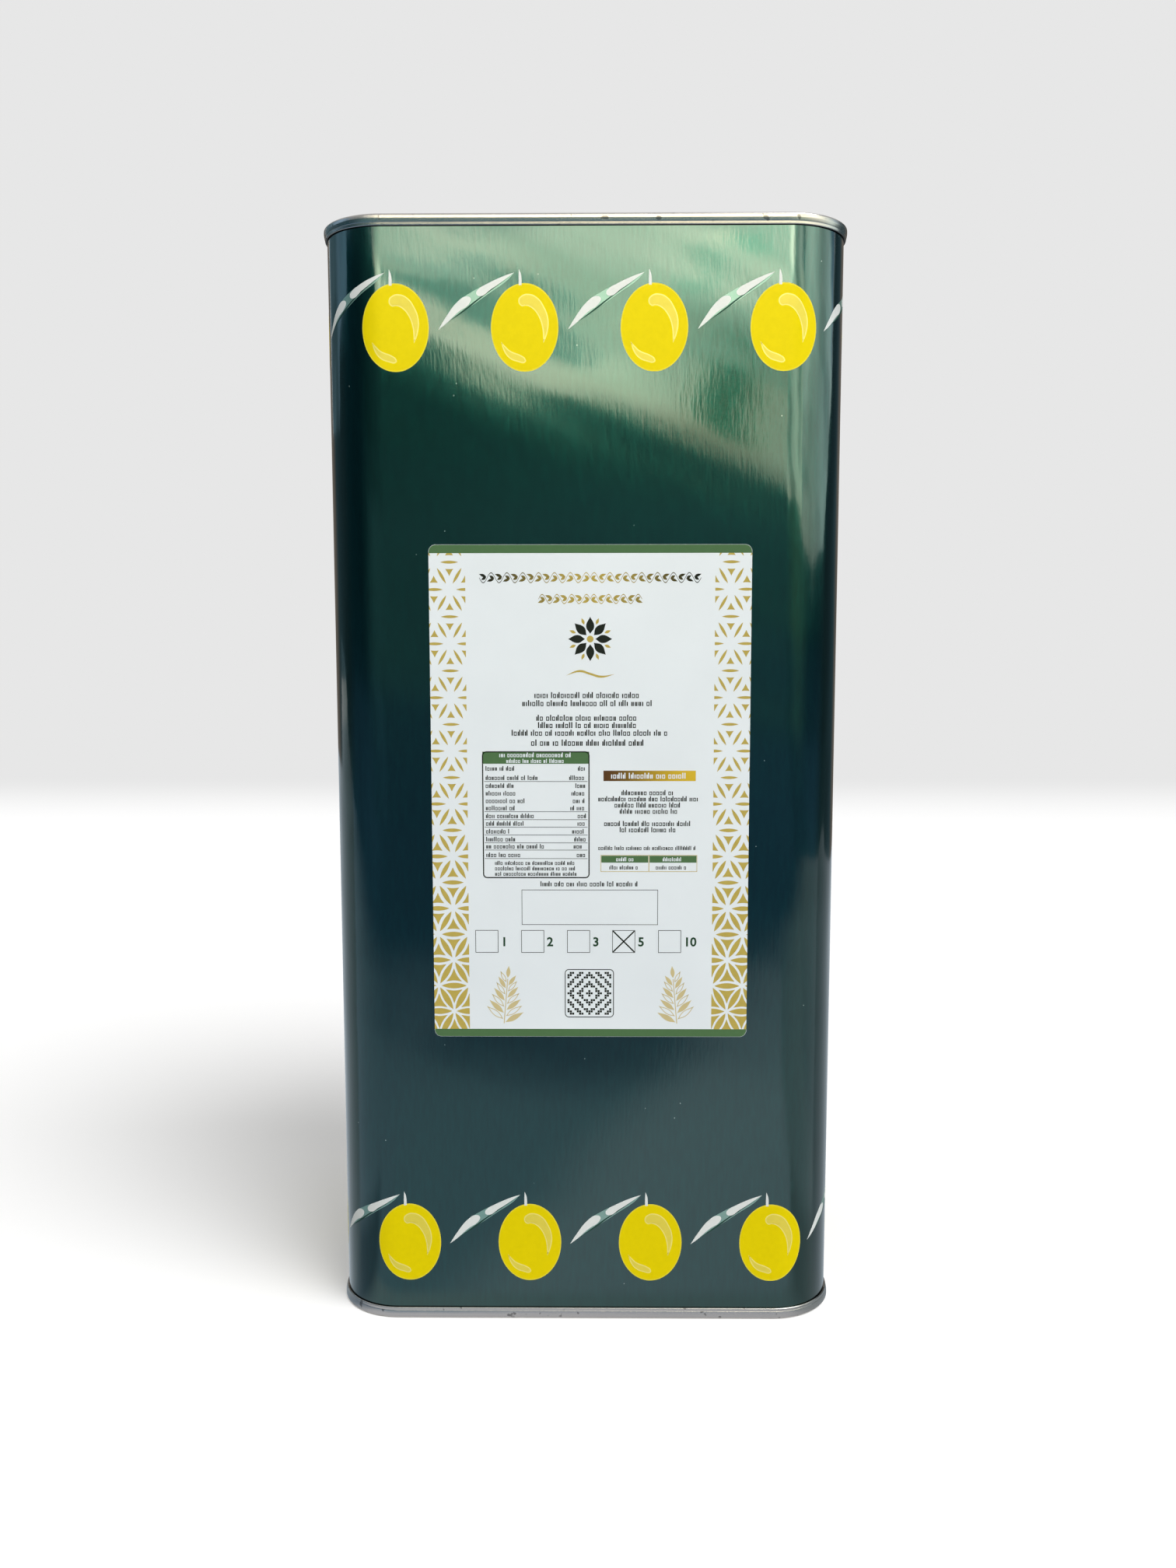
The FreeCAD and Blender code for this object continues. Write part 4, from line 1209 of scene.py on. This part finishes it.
def make_seal(finish):
    """The tear-out seal: a cup with its tear line, and a pull ring on a post."""
    rim, wall = SEAL_HIGH.x - SPOUT_AXIS.x, 0.8
    low, floor = SEAL_LOW.z, SEAL_LOW.z + wall
    high = floor + 2.4
    tear, notch = 9.4, 0.3
    ring, cord, post, lift = 7.2, 0.75, 1.1, 1.7
    cup = draw_section([
        (0, low), (rim, low, EASE), (rim, high, EASE), (rim - wall, high, EASE), (rim - wall, floor, SOFT),
        (tear + notch, floor), (tear, floor - notch), (tear - notch, floor), (0, floor)], closed=False)
    turn_section(cup)
    pull = bmesh.new()
    bmesh.ops.create_circle(pull, radius=cord, segments=16)
    bmesh.ops.transform(pull, verts=pull.verts, matrix=moved(ring, 0, floor + lift) @ turned(90, "X"))
    add_part(cup, turn_section(pull))
    add_part(cup, rod(post, lift), moved(SPOUT_AXIS.x + ring, SPOUT_AXIS.y, floor))
    finish_piece(cup, "seal_moulding", "seal", finish, ["spout_seal"])


def make_spout(settings):
    """The collar, the spout, the band and the seal, and the rubber of the gasket and the seams."""
    white = polyethylene("natural_polyethylene", settings.spout)
    yellow = polyethylene("yellow_polyethylene", settings.cap)
    rubber = soft_rubber("sealing_rubber", settings.rubber)
    for node in ("spout_gasket", "top_seam_compound", "bottom_seam_compound"):
        coat_node(node, rubber)
    make_collar(white)
    make_pull_spout(settings, white)
    make_band(settings, yellow)
    make_seal(white)


def make_cap(settings):
    """The screw cap with its ribs and thread, and the foam disc inside it."""
    yellow = bpy.data.materials["yellow_polyethylene"]
    disc = LINER_HIGH.x - SPOUT_AXIS.x
    roof = LINER_HIGH.z
    liner = draw_section([(0, LINER_LOW.z), (disc, LINER_LOW.z, EASE), (disc, roof, EASE), (0, roof)],
                         closed=False)
    finish_piece(turn_section(liner), "liner_disc", "liner",
                 cell_foam("closed_cell_foam", settings.liner), ["cap_liner"])

    inner, outer, crown, dish = 14.0, 15.6, 13.0, 12.6
    base, top = CAP_LOW.z, CAP_HIGH.z
    floor = top - 0.4
    crown_round, dish_round = 1.1, 0.5
    rib, rib_length, rib_foot = 0.45, 7.3, base + 0.8
    thread, thread_depth = base + 3.3, 0.45
    cap = draw_section([
        (0, roof), (inner, roof, SOFT), (inner, base, EASE), (outer, base, EASE), (outer, top, crown_round),
        (crown, top, dish_round), (dish, floor, SOFT), (0, floor)], closed=False)
    turn_section(cap)
    add_part(cap, ring_of(rod(rib, rib_length, 12, SOFT), settings.ribs, outer), moved(0, 0, rib_foot))
    add_part(cap, thread_ridge(inner + THREAD_SINK, inner - thread_depth, thread, settings.thread_pitch / MM))
    finish_piece(cap, "cap_moulding", "cap", yellow, ["cap_shell"])


# Handle

def make_handle(settings):
    """The drop handle, with a hollow along its face and grip bars across it."""
    half, arm, width, corner = 40.0, 9.0, 12.0, 13.0
    front, thick = HANDLE_LOW.y, HANDLE_HIGH.z - HANDLE_LOW.z
    inner, back = half - arm, front + width
    edge_round, hollow_edge, hollow_slope, hollow_depth = 1.6, 0.9, 0.4, 0.9
    strap = draw_outline([
        (half, 0), (inner, 0), (inner, back, corner - arm), (-inner, back, corner - arm), (-inner, 0),
        (-half, 0), (-half, front, corner), (half, front, corner)])
    face_up(strap)
    bmesh.ops.solidify(strap, geom=strap.faces[:], thickness=thick)
    level_edges = [e for e in strap.edges if abs(e.verts[0].co.z - e.verts[1].co.z) < MERGE_DISTANCE]
    bevel(strap, level_edges, edge_round, 4)
    face = max(strap.faces, key=lambda f: (f.normal.z > 0.99) * f.calc_area())
    bmesh.ops.inset_region(strap, faces=[face], thickness=hollow_edge, depth=0.0)
    bmesh.ops.inset_region(strap, faces=[face], thickness=hollow_slope, depth=-hollow_depth)
    level = max(vert.co.z for vert in strap.verts)
    bmesh.ops.translate(strap, verts=strap.verts, vec=(0, 0, HANDLE_HIGH.z - level))

    grip_half, grip_reach, grip_thick, grip_sink = 0.8, width / 2 - 2.6, 1.2, 0.25
    grips_each_way, spacing = 8, 3.2
    grip = bar(-grip_half, -grip_reach, grip_half, grip_reach)
    bmesh.ops.solidify(grip, geom=grip.faces[:], thickness=grip_thick)
    for index in range(-grips_each_way, grips_each_way + 1):
        add_part(strap, grip.copy(), moved(index * spacing, front + width / 2, HANDLE_HIGH.z - grip_sink))
    grip.free()

    pin, overlap = 2.0, 1.0
    hinge = (HANDLE_LOW.z + HANDLE_HIGH.z) / 2
    for knuckle_start, pin_start in ((-half, HANDLE_LOW.x), (inner, half - overlap)):
        add_part(strap, rod(thick / 2, arm, 32), moved(knuckle_start, 0, hinge) @ turned(90, "Y"))
        pin_rod = rod(pin, HANDLE_HIGH.x - half + overlap, 32)
        add_part(strap, pin_rod, moved(pin_start, 0, hinge) @ turned(90, "Y"))
    finish_piece(strap, "handle_moulding", "handle",
                 polypropylene("black_polypropylene", settings.handle), ["carry_handle"])


def make_brackets():
    """The strip brackets bent over the handle's pins, with the marks of their spot welds."""
    width = BRACKET_HIGH.x - BRACKET_LOW.x
    foot, crown = BRACKET_HIGH.y, BRACKET_HIGH.z - PANEL_LEVEL
    strip, inside, foot_round, edge_round = 0.8, 2.1, 0.6, 0.12
    outside, arch = inside + strip, crown - strip
    arch_round, crown_round = inside - 0.01, outside - 0.01
    weld_place = foot - 2.8
    weld_mark = [(0, 0.02), (0.9, 0.02), (1.2, 0.14), (1.6, -0.05)]
    # The plain material that the frame brings, as on the weld
    plain = bpy.data.materials["bare_tinplate"]
    on_edge = Matrix(((0, 0, 1, 0), (1, 0, 0, 0), (0, 1, 0, 0), (0, 0, 0, 1)))
    for side, x in (("left", -BRACKET_HIGH.x), ("right", BRACKET_LOW.x)):
        bend = draw_outline([
            (foot, 0), (foot, strip), (outside, strip, foot_round), (outside, crown, crown_round),
            (-outside, crown, crown_round), (-outside, strip, foot_round), (-foot, strip), (-foot, 0),
            (-inside, 0), (-inside, arch, arch_round), (inside, arch, arch_round), (inside, 0)])
        bmesh.ops.solidify(bend, geom=bend.faces[:], thickness=width)
        bmesh.ops.transform(bend, verts=bend.verts, matrix=on_edge)
        lowest = min(vert.co.x for vert in bend.verts)
        bmesh.ops.translate(bend, verts=bend.verts, vec=(x - lowest, 0, PANEL_LEVEL))
        bevel(bend, [e for e in bend.edges if e.calc_face_angle(0) > SHARP_ANGLE], edge_round, 2)
        for place in (-weld_place, weld_place):
            mark = draw_section(weld_mark, closed=False)
            turn_section(mark, Vector((x + width / 2, place, 0)), 32)
            add_part(bend, mark, moved(0, 0, PANEL_LEVEL + strip))
        finish_piece(bend, f"bracket_strip_{side}", "tin", plain,
                     [f"handle_bracket_{side}"])


# Stage

def stage_piece(bm, name, material):
    piece = link_mesh(bm, name, material)
    return piece


def seen_directly(tree):
    """One for what meets the eye straight, in gloss or through glass, nought for light that spreads."""
    rays = add_node(tree, "ShaderNodeLightPath").outputs
    seen = add_node(tree, "ShaderNodeMath", {0: rays["Is Camera Ray"], 1: rays["Is Glossy Ray"]},
                    operation="ADD")
    return add_node(tree, "ShaderNodeMath", {0: seen.outputs[0], 1: rays["Is Transmission Ray"]},
                    operation="ADD", use_clamp=True).outputs[0]


def studio_floor(settings):
    """White floor that keeps its shadow and fades into the backdrop."""
    material = bpy.data.materials.new("studio_floor")
    tree = blank_tree(material)
    fade_start, fade_end, sideways = 0.95, 1.6, 0.3
    matt = add_node(tree, "ShaderNodeBsdfDiffuse", {"Color": tint(settings.floor, 0.8)})
    dull = add_node(tree, "ShaderNodeBsdfDiffuse", {"Color": tint(settings.floor, 0.4)})
    lift = add_node(tree, "ShaderNodeEmission", {"Color": tuple(settings.floor), "Strength": 0.2})
    lit = add_node(tree, "ShaderNodeAddShader", {0: matt.outputs[0], 1: lift.outputs[0]})
    near = add_node(tree, "ShaderNodeMixShader", {
        0: seen_directly(tree), 1: dull.outputs[0], 2: lit.outputs[0]})
    place = add_node(tree, "ShaderNodeTexCoord").outputs["Object"]
    behind = add_node(tree, "ShaderNodeSeparateXYZ", {"Vector": place}).outputs["Y"]
    distance = add_node(tree, "ShaderNodeVectorMath", {0: place}, operation="LENGTH").outputs["Value"]
    around = add_node(tree, "ShaderNodeMath", {0: distance, 1: sideways}, operation="MULTIPLY")
    away = add_node(tree, "ShaderNodeMath", {0: behind, 1: around.outputs[0]}, operation="MAXIMUM")
    fade = add_node(tree, "ShaderNodeMapRange", {
        "Value": away.outputs[0], "From Min": fade_start, "From Max": fade_end},
        interpolation_type="SMOOTHSTEP")
    far = add_node(tree, "ShaderNodeEmission", {"Color": tuple(settings.backdrop), "Strength": 1.0})
    both = add_node(tree, "ShaderNodeMixShader", {0: fade.outputs[0], 1: near.outputs[0], 2: far.outputs[0]})
    add_node(tree, "ShaderNodeOutputMaterial", {"Surface": both.outputs[0]})
    return material


def light_room(settings):
    """A world that shows the backdrop and lights the shadows evenly."""
    world = bpy.data.worlds.new("studio")
    tree = blank_tree(world)
    even = add_node(tree, "ShaderNodeBackground", {"Color": (1, 1, 1, 1), "Strength": settings.ambient})
    shown = add_node(tree, "ShaderNodeBackground", {"Color": tuple(settings.backdrop), "Strength": 1.0})
    both = add_node(tree, "ShaderNodeMixShader", {
        0: seen_directly(tree), 1: even.outputs[0], 2: shown.outputs[0]})
    add_node(tree, "ShaderNodeOutputWorld", {"Surface": both.outputs[0]})
    bpy.context.scene.world = world


def add_lamp(data, direction, place=(0, 0, 0)):
    lamp = bpy.data.objects.new(data.name, data)
    lamp.location = place
    lamp.rotation_euler = Vector(direction).to_track_quat("-Z", "Y").to_euler()
    bpy.context.scene.collection.objects.link(lamp)
    return lamp


def add_softbox(name, place, target, size, power, colour, shines=True):
    """A soft lamp. One that does not shine lights matt surfaces only and leaves gloss to the cards."""
    data = bpy.data.lights.new(name, "AREA")
    data.shape = "RECTANGLE"
    data.size, data.size_y = size
    data.energy = power
    data.color = colour
    lamp = add_lamp(data, Vector(target) - Vector(place), place)
    lamp.visible_glossy = shines


def add_card(bm, name, material):
    """Adds a card that shows in gloss only, as a studio shapes what metal reflects."""
    card = stage_piece(bm, name, material)
    card.visible_camera = False
    card.visible_diffuse = False
    card.visible_shadow = False
    card.visible_transmission = False


def card_glow(name, colour, ramps, cloud):
    """Glow of a card, in scene light, that turns into further colours along axes, with soft clouds.

    A ramp has its axis, where it starts and ends along it in metres, and the colour that it turns into.
    """
    material = bpy.data.materials.new(name)
    tree = blank_tree(material)
    place = add_node(tree, "ShaderNodeTexCoord").outputs["Object"]
    glow = (*colour, 1.0)
    for axis, start, end, further in ramps:
        along = add_node(tree, "ShaderNodeVectorMath", {0: place, 1: axis}, operation="DOT_PRODUCT")
        share = add_node(tree, "ShaderNodeMapRange", {
            "Value": along.outputs["Value"], "From Min": start, "From Max": end},
            interpolation_type="SMOOTHSTEP")
        mix = add_node(tree, "ShaderNodeMix", {
            MIX_FACTOR: share.outputs[0], MIX_A: glow, MIX_B: (*further, 1.0)}, data_type="RGBA")
        glow = mix.outputs[MIX_RESULT]
    slant = add_node(tree, "ShaderNodeMapping", {
        "Vector": place, "Scale": (0.8, 0.8, 0.16), "Rotation": (0.0, math.radians(20), 0.0)},
        vector_type="TEXTURE")
    clouds = add_node(tree, "ShaderNodeTexNoise", {"Vector": slant.outputs[0], "Scale": 1.0, "Detail": 2.0})
    veil = add_node(tree, "ShaderNodeMapRange", {
        "Value": clouds.outputs["Fac"], "From Min": 0.36, "From Max": 0.64,
        "To Min": 1 - cloud, "To Max": 1 + cloud})
    shine = add_node(tree, "ShaderNodeEmission", {"Color": glow, "Strength": veil.outputs[0]})
    add_node(tree, "ShaderNodeOutputMaterial", {"Surface": shine.outputs[0]})
    return material


# Distance of the dark card from the tin's middle, in metres
CARD_REACH = 1.0

# Height at which the cards clear the floor, in metres
GROUND = 0.001

# Edges of the dark card: degrees to the right of the front, foot and head in metres
DARK_EDGES = (
    (-165, 0.10, 0.80), (-141, 0.09, 0.80), (-136, 0.085, 0.42), (-122, 0.085, 0.42), (-116, 0.22, 0.42),
    (-104, 0.20, 0.42), (-98, 0.105, 0.50), (-84, 0.065, 0.52), (-78, 0.04, 0.53), (-74, 0.025, 0.61),
    (-68, GROUND, 0.609), (-26, GROUND, 0.605), (-21, GROUND, 0.53), (-11, GROUND, 0.52),
    (-9.4, GROUND, 0.505), (-8, GROUND, 0.487), (-6.7, GROUND, 0.477), (-3.7, GROUND, 0.46),
    (-1.5, GROUND, 0.451), (1.5, GROUND, 0.438), (4.3, GROUND, 0.412), (7.6, GROUND, 0.383),
    (11, GROUND, 0.357), (16, GROUND, 0.339), (30, GROUND, 0.335), (44, GROUND, 0.285), (62, GROUND, 0.265),
    (88, GROUND, 0.29), (97, 0.03, 0.42), (104, 0.03, 0.46), (107, GROUND, 0.80), (165, GROUND, 0.80),
)

# Patches before the bright card: place across and up, width and height in metres, tilt in degrees, glow
PATCH_PLACE = -2.15
PATCHES = (
    (0.264, 0.685, 0.10, 0.20, -8, (0.1, 0.3, 0.05)),
    (-0.23, 0.856, 0.42, 0.09, 10, (1.3, 1.3, 1.1)),
    (-0.29, 0.94, 0.26, 0.022, 13, (2.2, 2.8, 2.4)),
    (0.291, 0.963, 0.10, 0.05, 0, (3.4, 6.4, 3.7)),
    (0.17, 0.906, 0.10, 0.034, 6, (3.4, 5.6, 3.4)),
    (0.223, 0.971, 0.075, 0.02, -40, (20.0, 18.0, 12.0)),
)

# Glows that more than one card has
DUSK, SKY = (0.11, 0.25, 0.4), (0.55, 0.82, 1.1)


def upright_card(width, height, place):
    """A flat card that stands at a place and faces the tin."""
    bm = bmesh.new()
    bmesh.ops.create_grid(bm, x_segments=1, y_segments=1, size=0.5)
    facing = Vector((-place[0], -place[1], 0)).to_track_quat("Z", "Y").to_matrix().to_4x4()
    size = Matrix.Diagonal((width, height, 1, 1))
    bmesh.ops.transform(bm, verts=bm.verts, matrix=moved(*place) @ facing @ size)
    return bm


def add_dark_card():
    """The dark card that stands round the tin, open at the back, and leaves the lacquer its depth."""
    shade, mid, warm = (0.06, 0.18, 0.18), (0.15, 0.36, 0.37), (0.3, 0.6, 0.42)
    black, edge, rear = (0.02, 0.09, 0.12), (0.05, 0.1, 0.12), (0.17, 0.15, 0.13)
    bm = bmesh.new()
    feet, heads = [], []
    for angle, foot, head in DARK_EDGES:
        direction = math.radians(angle)
        x, y = CARD_REACH * math.sin(direction), -CARD_REACH * math.cos(direction)
        feet.append(bm.verts.new((x, y, foot)))
        heads.append(bm.verts.new((x, y, head)))
    sides = [bm.edges.new(pair) for line in (feet, heads) for pair in zip(line, line[1:])]
    bmesh.ops.bridge_loops(bm, edges=sides)
    add_card(bm, "dark_card", card_glow("dark_card", shade, [
        ((0, 0, -1), -0.44, -0.3, mid),
        ((0.7, 0, 1), 0.42, 0.62, warm),
        ((0, 1, 0), -0.9, -0.5, black),
        ((0, 0, -1), -0.27, -0.03, DUSK),
        ((0, 1, 0), -0.3, 0.1, edge),
        ((0, 1, 0), 0.5, 0.7, rear)], 0.15))


def add_bright_cards():
    """The bright card beyond the dark one, with its patches, and a card on each side."""
    low, high, crest = (2.9, 2.3, 1.5), (8.6, 7.9, 5.7), (12.6, 11.2, 8.3)
    right, top = (3.3, 3.2, 2.4), (2.8, 2.7, 2.4)
    add_card(upright_card(3.6, 1.8, (0.1, -2.2, 1.1)), "bright_card", card_glow("bright_card", low, [
        ((0, 0, 1), 0.5, 1.0, high),
        ((0.3, 0, 1), 0.84, 0.97, crest),
        ((1, 0, -1), -0.4, -0.1, right),
        ((0, 0, 1), 0.99, 1.1, top)], 0.6))
    for index, (x, z, width, height, tilt, glow) in enumerate(PATCHES):
        name = f"patch_card_{index}"
        bm = bmesh.new()
        bmesh.ops.create_circle(bm, cap_ends=True, radius=0.5, segments=32)
        stand = turned(tilt, "Y") @ Matrix.Diagonal((width, 1, height, 1)) @ turned(90, "X")
        bmesh.ops.transform(bm, verts=bm.verts, matrix=moved(x, PATCH_PLACE, z) @ stand)
        add_card(bm, name, card_glow(name, glow, [], 0.2))

    white, whiter, back, dim = (2.3, 2.2, 1.8), (4.1, 4.0, 3.3), (1.7, 2.0, 1.9), (0.14, 0.24, 0.29)
    add_card(upright_card(2.2, 1.1, (1.6, -0.52, 0.6)), "side_card", card_glow("side_card", white, [
        ((0, 0, 1), 0.55, 0.72, whiter),
        ((0, 1, 0), -1.3, 0.2, back),
        ((0, 0.5, 1), 0.85, 1.0, SKY)], 0.3))
    add_card(upright_card(2.4, 1.1, (-1.6, 0.3, 0.7)), "sky_card", card_glow("sky_card", SKY, [
        ((0, 1, 0), 0.1, 0.6, dim)], 0.3))


def add_floor_card():
    """The grey card on the floor, seen only in gloss, whose glows are painted light and shade: lighter where
    the key light falls and in a strip at the tin's foot, darker in the tin's shade, beside its corners,
    behind it and under the label.
    """
    shaded, under_label_shade = (0.56, 0.7, 0.84), (0.26, 0.32, 0.44)
    lit, foot, behind = (1.03, 1.02, 1.15), (0.88, 0.9, 0.96), (0.4, 0.46, 0.51)
    left, left_corner_shade = (0.58, 0.68, 0.84), (0.25, 0.33, 0.42)
    right, right_corner_shade, right_back = (0.77, 0.82, 0.89), (0.5, 0.55, 0.58), (0.65, 0.71, 0.79)
    bm = bmesh.new()
    bmesh.ops.create_circle(bm, cap_ends=True, radius=3 * CARD_REACH, segments=64)
    bmesh.ops.translate(bm, verts=bm.verts, vec=(0, 0, GROUND / 2))
    add_card(bm, "floor_card", card_glow("floor_card", shaded, [
        ((0, -1, 0), 0.235, 0.34, under_label_shade),
        ((-1, 0, 0), 0.06, 0.1, left),
        ((0.94, 0.33, 0), -0.08, -0.04, lit),
        ((0, 1, 0), -0.078, -0.068, foot),
        ((-0.8, 0.6, 0), 0.015, 0.03, left_corner_shade),
        ((-1, 0, 0), 0.11, 0.15, left),
        ((0.8, 0.6, 0), 0.01, 0.025, right_corner_shade),
        ((1, 0, 0), 0.11, 0.16, right),
        ((0.8, 0.6, 0), 0.1, 0.16, right_back),
        ((0, 1, 0), -0.058, -0.042, behind),
        ((-0.2, -1.0, 0), 0.2, 0.64, DUSK)], 0.1))


def add_camera(settings):
    pitch, yaw, roll = settings.camera_pitch, settings.camera_yaw, settings.camera_roll
    forward = Vector((math.sin(yaw) * math.cos(pitch), math.cos(yaw) * math.cos(pitch), -math.sin(pitch)))
    level = forward.cross(Vector((0, 0, 1))).normalized()
    upright = level.cross(forward)
    right = level * math.cos(roll) + upright * math.sin(roll)
    up = upright * math.cos(roll) - level * math.sin(roll)
    data = bpy.data.cameras.new("camera")
    data.lens = settings.lens
    data.sensor_width = 36.0
    data.clip_start = 0.01
    camera = bpy.data.objects.new("camera", data)
    camera.matrix_world = (Matrix.Translation(settings.camera_place)
                           @ Matrix((right, up, -forward)).transposed().to_4x4())
    bpy.context.scene.collection.objects.link(camera)
    bpy.context.scene.camera = camera


def make_stage(settings):
    bpy.context.scene.view_settings.view_transform = "Standard"
    floor = bmesh.new()
    bmesh.ops.create_circle(floor, cap_ends=True, radius=9.0, segments=96)
    stage_piece(floor, "studio_floor", studio_floor(settings))
    light_room(settings)
    add_dark_card()
    add_bright_cards()
    add_floor_card()
    add_softbox("front_softbox", place=(-0.2, -2.2, 1.0), target=(0, 0, 0.16), size=(1.8, 1.2),
                power=settings.front_power, colour=(1.0, 0.95, 0.88), shines=False)
    add_softbox("top_softbox", place=(-0.2, 0.3, 1.9), target=(0, 0, 0.2), size=(1.6, 1.6),
                power=settings.top_power, colour=(1.0, 1.0, 1.0))
    key = bpy.data.lights.new("key_light", "SUN")
    key.energy = settings.key_strength
    key.angle = settings.key_spread
    add_lamp(key, (-0.42, 0.38, -0.83))
    add_camera(settings)


# Operators, panel and registration

class OILTIN_OT_wall(bpy.types.Operator):
    """Make the lacquered wall, its weld and both seamed ends"""
    bl_idname = "oiltin.wall"
    bl_label = "Wall and Ends"

    def execute(self, context):
        settings = context.scene.oiltin_wall
        tinplate = bare_tinplate(settings.tinplate)
        make_lacquered_wall(settings)
        make_side_weld(settings)
        make_top_end(settings, tinplate)
        make_bottom_end(settings, tinplate)
        return {"FINISHED"}


class OILTIN_OT_olives(bpy.types.Operator):
    """Print the two rows of olives round the wall"""
    bl_idname = "oiltin.olives"
    bl_label = "Olive Rows"

    def execute(self, context):
        make_olive_rows(context.scene.oiltin_olives, context.scene.oiltin_wall)
        return {"FINISHED"}


class OILTIN_OT_label(bpy.types.Operator):
    """Make the label with its border, table, boxes and ornaments"""
    bl_idname = "oiltin.label"
    bl_label = "Front Label"

    def execute(self, context):
        settings = context.scene.oiltin_label
        make_label_ground(settings)
        make_label_lattice(settings)
        make_label_panels(settings)
        make_label_ornaments(settings)
        return {"FINISHED"}


class OILTIN_OT_spout(bpy.types.Operator):
    """Make the collar, the spout, the tamper band and the seal"""
    bl_idname = "oiltin.spout"
    bl_label = "Spout"

    def execute(self, context):
        make_spout(context.scene.oiltin_closure)
        return {"FINISHED"}


class OILTIN_OT_cap(bpy.types.Operator):
    """Make the screw cap and its liner"""
    bl_idname = "oiltin.cap"
    bl_label = "Cap"

    def execute(self, context):
        make_cap(context.scene.oiltin_closure)
        return {"FINISHED"}


class OILTIN_OT_handle(bpy.types.Operator):
    """Make the drop handle and its brackets"""
    bl_idname = "oiltin.handle"
    bl_label = "Handle"

    def execute(self, context):
        make_handle(context.scene.oiltin_closure)
        make_brackets()
        return {"FINISHED"}


class OILTIN_OT_stage(bpy.types.Operator):
    """Set the floor, the lights and the camera"""
    bl_idname = "oiltin.stage"
    bl_label = "Stage"

    def execute(self, context):
        make_stage(context.scene.oiltin_stage)
        return {"FINISHED"}


SETTINGS = {
    "oiltin_wall": WallSettings,
    "oiltin_olives": OliveSettings,
    "oiltin_label": LabelSettings,
    "oiltin_closure": ClosureSettings,
    "oiltin_stage": StageSettings,
}
OPERATORS = (OILTIN_OT_wall, OILTIN_OT_olives, OILTIN_OT_label, OILTIN_OT_spout, OILTIN_OT_cap,
             OILTIN_OT_handle, OILTIN_OT_stage)


class OILTIN_PT_panel(bpy.types.Panel):
    """Lists the settings and the steps that make the tin"""
    bl_idname = "OILTIN_PT_panel"
    bl_label = "Oil Tin"
    bl_space_type = "VIEW_3D"
    bl_region_type = "UI"
    bl_category = "Oil Tin"

    def draw(self, context):
        for operator in OPERATORS:
            self.layout.operator(operator.bl_idname)
        for name in SETTINGS:
            group = getattr(context.scene, name)
            box = self.layout.box()
            for setting in group.bl_rna.properties.keys():
                if setting not in ("rna_type", "name"):
                    box.prop(group, setting)


def register():
    for name, group in SETTINGS.items():
        bpy.utils.register_class(group)
        setattr(bpy.types.Scene, name, bpy.props.PointerProperty(type=group))
    for made in (*OPERATORS, OILTIN_PT_panel):
        bpy.utils.register_class(made)


def unregister():
    for made in (OILTIN_PT_panel, *reversed(OPERATORS)):
        bpy.utils.unregister_class(made)
    for name, group in SETTINGS.items():
        delattr(bpy.types.Scene, name)
        bpy.utils.unregister_class(group)


def main():
    register()
    bpy.ops.oiltin.wall()
    bpy.ops.oiltin.olives()
    bpy.ops.oiltin.label()
    bpy.ops.oiltin.spout()
    bpy.ops.oiltin.cap()
    bpy.ops.oiltin.handle()
    bpy.ops.oiltin.stage()


if __name__ == "__main__":
    main()
